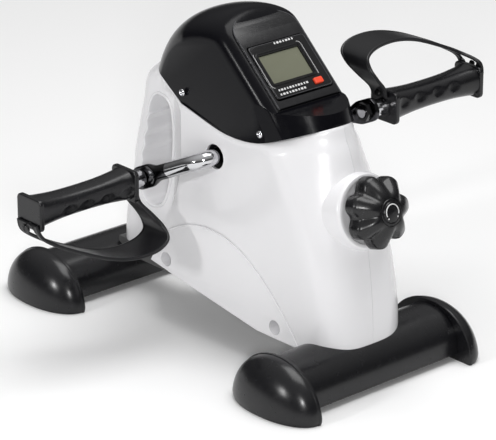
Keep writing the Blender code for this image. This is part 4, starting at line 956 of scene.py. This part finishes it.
def make_meter():
    """The meter: its case with a display pocket and a button well, the display and the button."""
    place, top, above = slope_place(), METER_TOP, METER_TOP + 0.010
    case = plate("meter", [face_outline(0, 0, METER_HALF, 0.0030)], place, top - 0.010, top, 0.0010)
    pocket = plate("pocket", [face_outline(LCD_U, LCD_V, LCD_HALF, 0.0008)], place, top - LCD_DEPTH, above)
    well = plate("well", [face_outline(BUTTON_U, BUTTON_V, BUTTON_HALF, 0.0012)], place,
                 top - BUTTON_WELL_DEPTH, above)
    case = cut(case, pocket, well)
    ridge = [place @ Vector((u, v, top)) for u, v in face_outline(LCD_U, LCD_V, LCD_HALF, 0.0035, 0.0024)]
    rim = [place @ Vector((u, v, top - 0.0004)) for u, v in face_outline(0, 0, METER_HALF, 0.0030, -0.0008)]
    dress(joined("meter_face", case, bead("ridge", ridge, 0.0008, closed=True)), "black_gloss", "frame",
          replaces=("meter_case",))
    # The meter's edge cord in lighter grey: a painted highlight.
    dress(bead("meter_edge", rim, 0.0005, closed=True), "painted_highlight_grey", "frame")
    glass = plate("lcd_glass", [face_outline(LCD_U, LCD_V, LCD_HALF, 0.0006, -0.0002)],
                  place, top - 0.0024, top - 0.0012, 0.0002)
    dress(glass, "lcd", "frame", replaces=("lcd_window",))
    button = plate("button_cap", [face_outline(BUTTON_U, BUTTON_V, BUTTON_HALF, 0.0013, -0.0003)],
                   place, top - 0.0050, top + 0.0020, 0.0008)
    dress(button, "button_red", "button", replaces=("mode_button",))
    make_marks(place, top)


# Rows of printed dashes: start, end, height and count
DASH_ROWS = ((-0.0285, 0.0090, -0.0200, 11), (-0.0290, 0.0035, -0.0245, 9),
             (-0.0040, 0.0210, 0.0258, 7))


def make_marks(place, top):
    """White marks: two printed lines part way round the display, drawn only where its rim shows light, so
    partly a painted reflection, and rows of printed dashes.
    """
    pieces = []
    # The two lines run along the display's right side round its top right corner and along its left side
    # round its lower left corner: print, and in part a painted reflection of the rim.
    outline = face_outline(LCD_U, LCD_V, LCD_HALF, 0.0040, 0.0046, 8)
    count = len(outline)
    for start, length in ((-3, 12), (count // 2 - 4, 12)):
        part = [outline[(start + i) % count] for i in range(length)]
        pieces.append(bead("line", [place @ Vector((u, v, top - 0.0001)) for u, v in part], 0.00026))
    for start, end, v, number in DASH_ROWS:
        pitch = (end - start) / number
        for i in range(number):
            u = start + pitch * i
            half = pitch * (DASH_SHARE + DASH_CHANGE * (i * 5 % 3))
            dash = rounded_rectangle(u + pitch * DASH_SHIFT, METER_MIDDLE_V + v, half, 0.0010, 0.0003, 3)
            pieces.append(plate("dash", [dash], place, top - 0.0002, top + 0.00012))
    dress(joined("print_and_painted_reflection_marks", *pieces), "white_ink_and_painted_reflection", "frame")


# ---------------------------------------------------------------- knob

def knob_point(radius, distance, turn):
    """A point at a radius and an angle about the knob's axis, and a distance out from its foot."""
    up = Vector((1.0, 0.0, 0.0)).cross(KNOB_OUT)
    across = Vector((1.0, 0.0, 0.0)) * math.cos(turn) + up * math.sin(turn)
    return KNOB_FOOT + KNOB_OUT * distance + across * radius


def knob_valley(turn):
    """How deep an angle round the knob is in the valley between two lobes, 0 to 1."""
    return ((1 - math.cos(KNOB_LOBES * turn)) / 2) ** VALLEY_POWER


def knob_rim(turn, change, share=1.0):
    """The knob's radius at an angle."""
    return KNOB_RADIUS + change + LOBE_DEPTH * share * (1 - VALLEY_DEPTH * knob_valley(turn))


def knob_rows():
    """Rows round the knob: its lobed side, its face with scoops, and the seat of its cap."""
    around = turns(KNOB_LOBES * 24)
    rows = [[knob_point(KNOB_BORE, KNOB_SIDES[0][0], turn) for turn in around]]
    for distance, change, share in KNOB_SIDES:
        rows.append([knob_point(knob_rim(turn, change, share), distance, turn) for turn in around])
    edge_out, edge_change, _ = KNOB_SIDES[-1]
    for k in range(1, KNOB_FACE_STEPS + 1):
        inward = k / KNOB_FACE_STEPS
        height = edge_out + KNOB_FACE_RISE * math.sin(inward * math.pi / 2) ** 1.1
        row = []
        for turn in around:
            rim = knob_rim(turn, edge_change)
            scoop = SCOOP_DEPTH * knob_valley(turn) * math.sin(math.pi * inward)
            row.append(knob_point(rim + (KNOB_FACE_RADIUS - rim) * inward, height - scoop, turn))
        rows.append(row)
    for radius in (CAP_SEAT_RADIUS, KNOB_BORE):
        rows.append([knob_point(radius, CAP_SEAT, turn) for turn in around])
    return rows


def make_knob():
    """The lobed knob, its cap and the mark on the cap."""
    dress(surface("lobed_knob", knob_rows(), around=True, ring=True), "knob_black", "knob",
          replaces=("tension_knob",))
    profile = ((0.0124, 0.0375), (0.0124, 0.0392), (0.0120, 0.0398), (0.0105, 0.0400), (0.0102, 0.0396),
               (0.0096, 0.0396), (0.0090, 0.0402), (0.0050, 0.0410), (0.0002, 0.0413))
    dress(turned("knob_button", profile, KNOB_FOOT, KNOB_OUT, 56), "black_satin", "knob",
          replaces=("knob_cap",))
    marks = []
    arc_points = [knob_point(MARK_RADIUS, 0.0405, math.radians(-200 + 220 * i / 32)) for i in range(33)]
    marks.append(bead("arc", arc_points, 0.00055))
    for angle in (-222, 42):
        middle = knob_point(MARK_RADIUS, 0.0403, math.radians(angle))
        marks.append(turned("dot", ((0.0, 0.0005), (0.0006, 0.0004), (0.0009, 0.0)), middle, KNOB_OUT, 16))
    dress(joined("turn_mark", *marks), "white_ink_and_painted_reflection", "knob")


# ---------------------------------------------------------------- screws

def make_cover_screws():
    """Domed cross-head screws in the top cover."""
    profile = ((0.0036, -0.0006), (0.0037, 0.0002), (0.0034, 0.0010), (0.0026, 0.0017), (0.0014, 0.0021),
               (0.0002, 0.0022))
    for side, word in SIDES:
        for (y, z), end in zip(DOME_SCREWS, ("rear", "front")):
            node = f"{word}_cover_screw_{end}"
            face = Vector((side * (HALF_WIDTH * cover_taper(y) * (1 - COVER_NARROWING) - 0.0003), y, z))
            head = turned(f"{node}_head", profile, face, (side, 0, 0), 32, ends=True)
            slots = []
            for half_y, half_z in ((0.0019, 0.0004), (0.0004, 0.0019)):
                outline = [(y - half_y, z - half_z), (y + half_y, z - half_z), (y + half_y, z + half_z),
                           (y - half_y, z + half_z)]
                ends = sorted((face.x + side * 0.0010, face.x + side * 0.004))
                slots.append(side_plate("slot", [outline], *ends))
            head = cut(head, *slots)
            head.name = f"{node}_head"
            dress(head, "chrome", "frame", replaces=(node,))


# ---------------------------------------------------------------- crank

def crank_path(side):
    """Middle line of one arm, from the middle of the machine out to its flat end."""
    axis = PEDAL_AXIS[side]
    centre = Vector((0.0, CRANK.y, CRANK.z))
    eye = Vector((side * EYE_X, axis.y, axis.z))
    corner = Vector((side * BAR_BEND_X, CRANK.y, CRANK.z))
    start = corner + (centre - corner).normalized() * BEND_REACH
    end = corner + (eye - corner).normalized() * BEND_REACH
    points = [centre.lerp(start, i / 10) for i in range(10)]
    for i in range(13):
        t = i / 12
        points.append(start * (1 - t) ** 2 + corner * 2 * t * (1 - t) + end * t ** 2)
    tip = eye + (eye - corner).normalized() * EYE_RADIUS
    return points + [end.lerp(tip, i / ARM_STEPS) for i in range(1, ARM_STEPS + 1)], eye


def arm_ring(points, k, square):
    """The ring of points round an arm at one of its points: round at first, flat near its tip."""
    ahead, behind = neighbours(points, k)
    flat_way = (ahead - behind).normalized().cross(square)
    to_tip = (points[-1] - points[k]).length
    flatness = min(max((FLAT_START - to_tip) / FLAT_LENGTH, 0.0), 1.0)
    flatness = flatness * flatness * (3 - 2 * flatness)
    thick = BAR_RADIUS + (EYE_THICKNESS / 2 - BAR_RADIUS) * flatness
    wide = BAR_RADIUS + (EYE_RADIUS - BAR_RADIUS) * flatness
    past_eye = max(EYE_RADIUS - to_tip, 0.0) / TIP_LENGTH
    wide *= max(1 - past_eye ** TIP_POWER, 0.001) ** TIP_ROOT
    power = 1.0 - FLAT_SQUARENESS * flatness
    return [points[k] + square * wide * signed_power(math.cos(turn), power)
            + flat_way * thick * signed_power(math.sin(turn), power) for turn in turns(40)]


def make_crank():
    """Both chrome arms of the crank, and their flat ends in a darker copy of the chrome: painted shade."""
    arms, eyes = [], []
    for side, _ in SIDES:
        points, eye = crank_path(side)
        arm = (eye - points[-ARM_STEPS - 2]).normalized()
        square = Vector((1.0, 0.0, 0.0)).cross(arm).normalized()
        rows = [arm_ring(points, k, square) for k in range(len(points))]
        arms.append(surface("arm", rows[:EYE_ROW], around=True, ends=True))
        eyes.append(surface("eye", rows[EYE_ROW - 1:], around=True, ends=True))
    dress(joined("crank_arms", *arms), "chrome", "crank", replaces=("crank_bar",))
    # The flat ends in a darker copy of the chrome: painted shade.
    dress(joined("crank_eyes", *eyes), "shaded_chrome", "crank")


# ---------------------------------------------------------------- pedals

def pedal_point(side, out, lean, height):
    """A point given from the pedal axis; the two pedals are half a turn apart."""
    axis = PEDAL_AXIS[side]
    return Vector((side * out, axis.y + side * lean, axis.z + side * height))


def grip(side):
    """The waisted foot rest with a row of shallow oval dimples on its front and back."""
    rows = []
    for out, half_y, half_z in smooth_line(WAIST, 10):
        row = []
        for turn in turns(56):
            lean = half_y * signed_power(math.cos(turn), 0.8)
            height = half_z * signed_power(math.sin(turn), 0.8)
            dent = 0.0
            for place in DIMPLES:
                away = (((out - place) / DIMPLE_HALF_LENGTH) ** 2
                        + ((height - DIMPLE_HEIGHT) / DIMPLE_HALF_HEIGHT) ** 2)
                dent += DIMPLE_DEPTH * max(1 - away, 0.0) ** 0.7
            row.append(pedal_point(side, out, lean - math.copysign(dent, lean), height))
        rows.append(row)
    return surface("grip", rows, around=True, ends=True)


def pedal_place(side):
    """Placement with local X lean, Y height and Z outwards, for plates square to the pedal axis."""
    axis = PEDAL_AXIS[side]
    return Matrix(((0, 0, side, 0), (side, 0, 0, axis.y), (0, side, 0, axis.z), (0, 0, 0, 1)))


def make_pedal(side, word):
    """A foot rest between two end plates, the outer one hollow with ribs and a hub."""
    place = pedal_place(side)
    outline = rounded_rectangle(0, 0, PLATE_HALF_Y, PLATE_HALF_Z, 0.0050)
    inner = plate("inner", [outline], place, PEDAL_INNER, PEDAL_INNER + PLATE_THICKNESS, 0.0012)
    outer = plate("outer", [outline], place, PEDAL_OUTER - PLATE_THICKNESS, PEDAL_OUTER, 0.0012)
    hollow = plate("hollow", [rounded_rectangle(0, 0, PLATE_HALF_Y - 0.0028, PLATE_HALF_Z - 0.0028, 0.0035)],
                   place, PEDAL_OUTER - 0.0026, PEDAL_OUTER + 0.01)
    outer = cut(outer, hollow)
    ribs = []
    for lean in (-0.0085, 0.0085):
        ribs.append(plate("rib", [rounded_rectangle(lean, 0, 0.0007, PLATE_HALF_Z - 0.003, 0.0005)], place,
                          PEDAL_OUTER - 0.0035, PEDAL_OUTER - 0.0010))
    centre = Vector((0.0, *PEDAL_AXIS[side].yz))
    hub = turned("hub", ((0.0072, PEDAL_OUTER - 0.004), (0.0070, PEDAL_OUTER - 0.0012),
                         (0.0060, PEDAL_OUTER - 0.0006), (0.0048, PEDAL_OUTER - 0.0012),
                         (0.0046, PEDAL_OUTER - 0.0034), (0.0002, PEDAL_OUTER - 0.0034)),
                 centre, (side, 0, 0), 40)
    collar = turned("collar", ((0.0110, PEDAL_INNER + 0.001), (0.0105, PEDAL_INNER - 0.0004),
                               (0.0090, PEDAL_INNER - 0.0008), (0.0055, PEDAL_INNER - 0.0004),
                               (0.0055, PEDAL_INNER + 0.002)), centre, (side, 0, 0), 40)
    pedal = joined(f"{word}_pedal", grip(side), inner, outer, hub, collar, *ribs)
    dress(pedal, "black_satin", f"{word}_pedal", replaces=(f"{word}_pedal_body",))


def make_strap(side, word):
    """The moulded strap: a thin band, rolled along both edges, forked near its outer end."""
    between, across_steps = 8, 16
    line = smooth_line(STRAP_LINE, between)
    fork_start, fork_end = FORK_START * between - 3, FORK_END * between
    bm = bmesh.new()
    grid = []
    for out, height, lean, width in line:
        grid.append([bm.verts.new(pedal_point(side, out, lean + (i / across_steps - 0.5) * width, height))
                     for i in range(across_steps + 1)])
    for k, (lower, upper) in enumerate(zip(grid, grid[1:])):
        opening = 0.0
        if fork_start < k < fork_end:
            share = (k - fork_start) / (fork_end - fork_start)
            opening = FORK_SHARE * math.sin(math.pi * share) ** 0.5
        for i in range(across_steps):
            if abs((i + 0.5) / across_steps - 0.5) < opening / 2:
                continue
            bm.faces.new((lower[i], lower[i + 1], upper[i + 1], upper[i]))
    loose = [vert for vert in bm.verts if not vert.link_faces]
    bmesh.ops.delete(bm, geom=loose, context="VERTS")
    band = piece_from("band", bm)
    solidify = band.modifiers.new("Solidify", "SOLIDIFY")
    solidify.thickness = STRAP_THICKNESS
    solidify.offset = 0.0
    rounding = band.modifiers.new("Subdivision", "SUBSURF")
    rounding.levels = rounding.render_levels = 1
    band = applied(band)
    edges = []
    for sign in (-1, 1):
        points = [pedal_point(side, out, lean + sign * (width / 2 - STRAP_EDGE_INSET), height)
                  for out, height, lean, width in line]
        edges.append(bead("edge", points, STRAP_EDGE_RADIUS))
    dress(joined(f"{word}_strap", band, *edges), "rubber", f"{word}_pedal",
          replaces=(f"{word}_foot_strap",))


# ---------------------------------------------------------------- feet

def make_foot_bar(end, middle):
    """The plastic bar over a cross tube."""
    rows = []
    for i in range(61):
        x = (2 * i / 60 - 1) * (FOOT_HALF_LENGTH - 0.0003)
        row = []
        for k in range(41):
            turn = math.pi * k / 40
            row.append((x, middle + BAR_HALF_DEPTH * math.cos(turn),
                        BAR_BOTTOM + (BAR_TOP - BAR_BOTTOM) * math.sin(turn) ** 0.8))
        rows.append(row)
    bar = surface(f"{end}_bar", rows, around=True, ends=True)
    dress(bar, "black_satin", "frame", replaces=(f"{end}_foot_cover",))


def make_end_cap(end, word, side, middle):
    """A quarter-round end with a raised rim, standing on a slightly tucked-in foot."""
    face = side * FOOT_HALF_LENGTH
    rows = []
    rim = CAP_RIM
    profile = [(0.0, 0.955), (0.0, 0.985), (0.0006, 0.998), (0.0018, 1.003), (0.0032, 1.000), (rim, 0.985)]
    for i in range(1, 33):
        turn = math.pi / 2 * i / 32
        profile.append((rim + (CAP_BULGE - rim) * math.sin(turn) ** 1.02, 0.985 * math.cos(turn) ** 0.92))
    for distance, share in profile:
        row = []
        for k in range(49):
            turn = math.pi * k / 48
            y = CAP_HALF_DEPTH * share * signed_power(math.cos(turn), 0.96)
            z = CAP_HEIGHT * share * abs(math.sin(turn)) ** 0.96
            tuck = max(1 - z / TUCK_HEIGHT, 0.0) ** 2
            row.append((face + side * distance * (1 - TUCK_X * tuck),
                        middle + y * (1 - TUCK_Y * tuck), z))
        rows.append(row)
    cap = surface(f"{end}_{word}_cap", rows, around=True, ends=True)
    dress(cap, "black_satin", "frame", replaces=(f"{end}_{word}_end_cap",))


def make_feet():
    """A bar and two end caps at each end of the machine."""
    for end in ("front", "rear"):
        low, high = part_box(f"{end}_foot_cover")
        middle = (low.y + high.y) / 2
        make_foot_bar(end, middle)
        for side, word in SIDES:
            make_end_cap(end, word, side, middle)


# ---------------------------------------------------------------- kept CAD nodes

KEPT_NODES = {
    "steel": ("tension_screw", "flywheel_axle", "speed_magnet"),
    "frame_paint": ("base_rail", "front_cross_tube", "rear_cross_tube"),
    "pulley_plastic": ("belt_pulley", "drive_wheel", "brake_shoe"),
    "cast_iron": ("flywheel",),
    "rubber": ("drive_belt",),
    "felt": ("brake_pad",),
    "black_satin": ("speed_sensor",),
}
KEPT_PAIRS = {
    "steel": ("crank_bearing", "shell_screw_front", "shell_screw_rear"),
    "frame_paint": ("frame_plate",),
    "chrome": ("pedal_spindle",),
    "black_gloss": ("strap_pin_inner", "strap_pin_outer", "spindle_nut"),
}
KEPT_EDGE, KEPT_EDGE_ANGLE = 0.0004, 40   # metres and degrees


def finish_kept_nodes():
    """Materials and softened edges for the CAD nodes that stay."""
    named = dict((name, material) for material, names in KEPT_NODES.items() for name in names)
    for material, endings in KEPT_PAIRS.items():
        for _, word in SIDES:
            named.update((f"{word}_{ending}", material) for ending in endings)
    for name, material in named.items():
        node = frame["nodes"][name]
        node.data.materials.clear()
        node.data.materials.append(MATERIALS[material])
        edge = node.modifiers.new("Edges", "BEVEL")
        edge.width = KEPT_EDGE
        edge.segments = 2
        edge.limit_method = "ANGLE"
        edge.angle_limit = math.radians(KEPT_EDGE_ANGLE)


# ---------------------------------------------------------------- floor, lights and camera

# Brightness of the surround at heights from the horizon (0) to straight up (1)
SURROUND = ((0.0, 0.06), (0.25, 0.10), (0.60, 0.38), (1.0, 0.62))
# Name, azimuth from the front (towards +X), elevation, distance, size and power
SOFT_BOXES = (
    ("left_box", -92.0, 20.0, 2.6, 0.24, 14.0),
    ("right_box", -40.0, 20.0, 2.6, 0.20, 17.0),
    ("top_box", 60.0, 80.0, 2.4, 1.80, 40.0),
)


def make_floor():
    """A wide pale floor."""
    bm = bmesh.new()
    reach = 8.0
    corners = [bm.verts.new(point) for point in ((-reach, -reach, 0), (reach, -reach, 0), (reach, reach, 0),
                                                 (-reach, reach, 0))]
    bm.faces.new(corners)
    floor = piece_from("floor", bm)
    material = finish_material("floor", (0.93, 0.93, 0.93), 0.75, specular=0.2, mottle=0.004,
                               mottle_scale=2.0, grain=0.0, roughness_change=0.02)
    floor.data.materials.append(material)


def aim(piece, place, target):
    """Stand a lamp or a camera at a place, facing a point."""
    piece.location = place
    piece.rotation_euler = (Vector(target) - Vector(place)).to_track_quat("-Z", "Y").to_euler()


def area_light(name, place, target, size, power):
    """A square light that faces a point."""
    light = bpy.data.lights.new(name, "AREA")
    light.shape = "RECTANGLE"
    light.size = light.size_y = size
    light.energy = power
    aim(placed(name, light), place, target)


def make_lights():
    """Two soft boxes at about the camera's height, a large one overhead, and a pale surround."""
    world = bpy.data.worlds.new("studio")
    world.use_nodes = True
    background = world.node_tree.nodes["Background"]
    place = world.node_tree.nodes.new("ShaderNodeTexCoord")
    height = world.node_tree.nodes.new("ShaderNodeSeparateXYZ")
    ramp = world.node_tree.nodes.new("ShaderNodeValToRGB")
    link(world.node_tree, place.outputs["Generated"], height.inputs[0])
    link(world.node_tree, height.outputs["Z"], ramp.inputs["Fac"])
    link(world.node_tree, ramp.outputs["Color"], background.inputs["Color"])
    while len(ramp.color_ramp.elements) < len(SURROUND):
        ramp.color_ramp.elements.new(0.5)
    for element, (position, shade) in zip(ramp.color_ramp.elements, SURROUND):
        element.position = position
        element.color = (shade, shade, shade, 1.0)
    bpy.context.scene.world = world
    middle = Vector(LIT_POINT)
    for name, azimuth, elevation, distance, size, power in SOFT_BOXES:
        flat = math.cos(math.radians(elevation)) * distance
        turn = math.radians(azimuth)
        place = middle + Vector((math.sin(turn) * flat, -math.cos(turn) * flat,
                                 math.sin(math.radians(elevation)) * distance))
        area_light(name, place, middle, size, power)
    bpy.context.scene.view_settings.view_transform = "Standard"


def make_camera():
    """The camera, at the front left."""
    camera = bpy.data.cameras.new("camera")
    camera.lens = CAMERA_LENS
    camera.sensor_width = CAMERA_SENSOR
    camera.clip_end = CAMERA_REACH
    holder = placed("camera", camera)
    aim(holder, CAMERA_PLACE, CAMERA_TARGET)
    bpy.context.scene.camera = holder


# ---------------------------------------------------------------- the whole scene

MATERIALS = make_materials()
make_camera()
make_shells()
make_grip_liner()
make_side_panels()
make_screw_cups()
make_boss()
make_cover()
make_console()
make_meter()
make_knob()
make_cover_screws()
make_crank()
for pedal_side, pedal_word in SIDES:
    make_pedal(pedal_side, pedal_word)
    make_strap(pedal_side, pedal_word)
make_feet()
finish_kept_nodes()
make_floor()
make_lights()
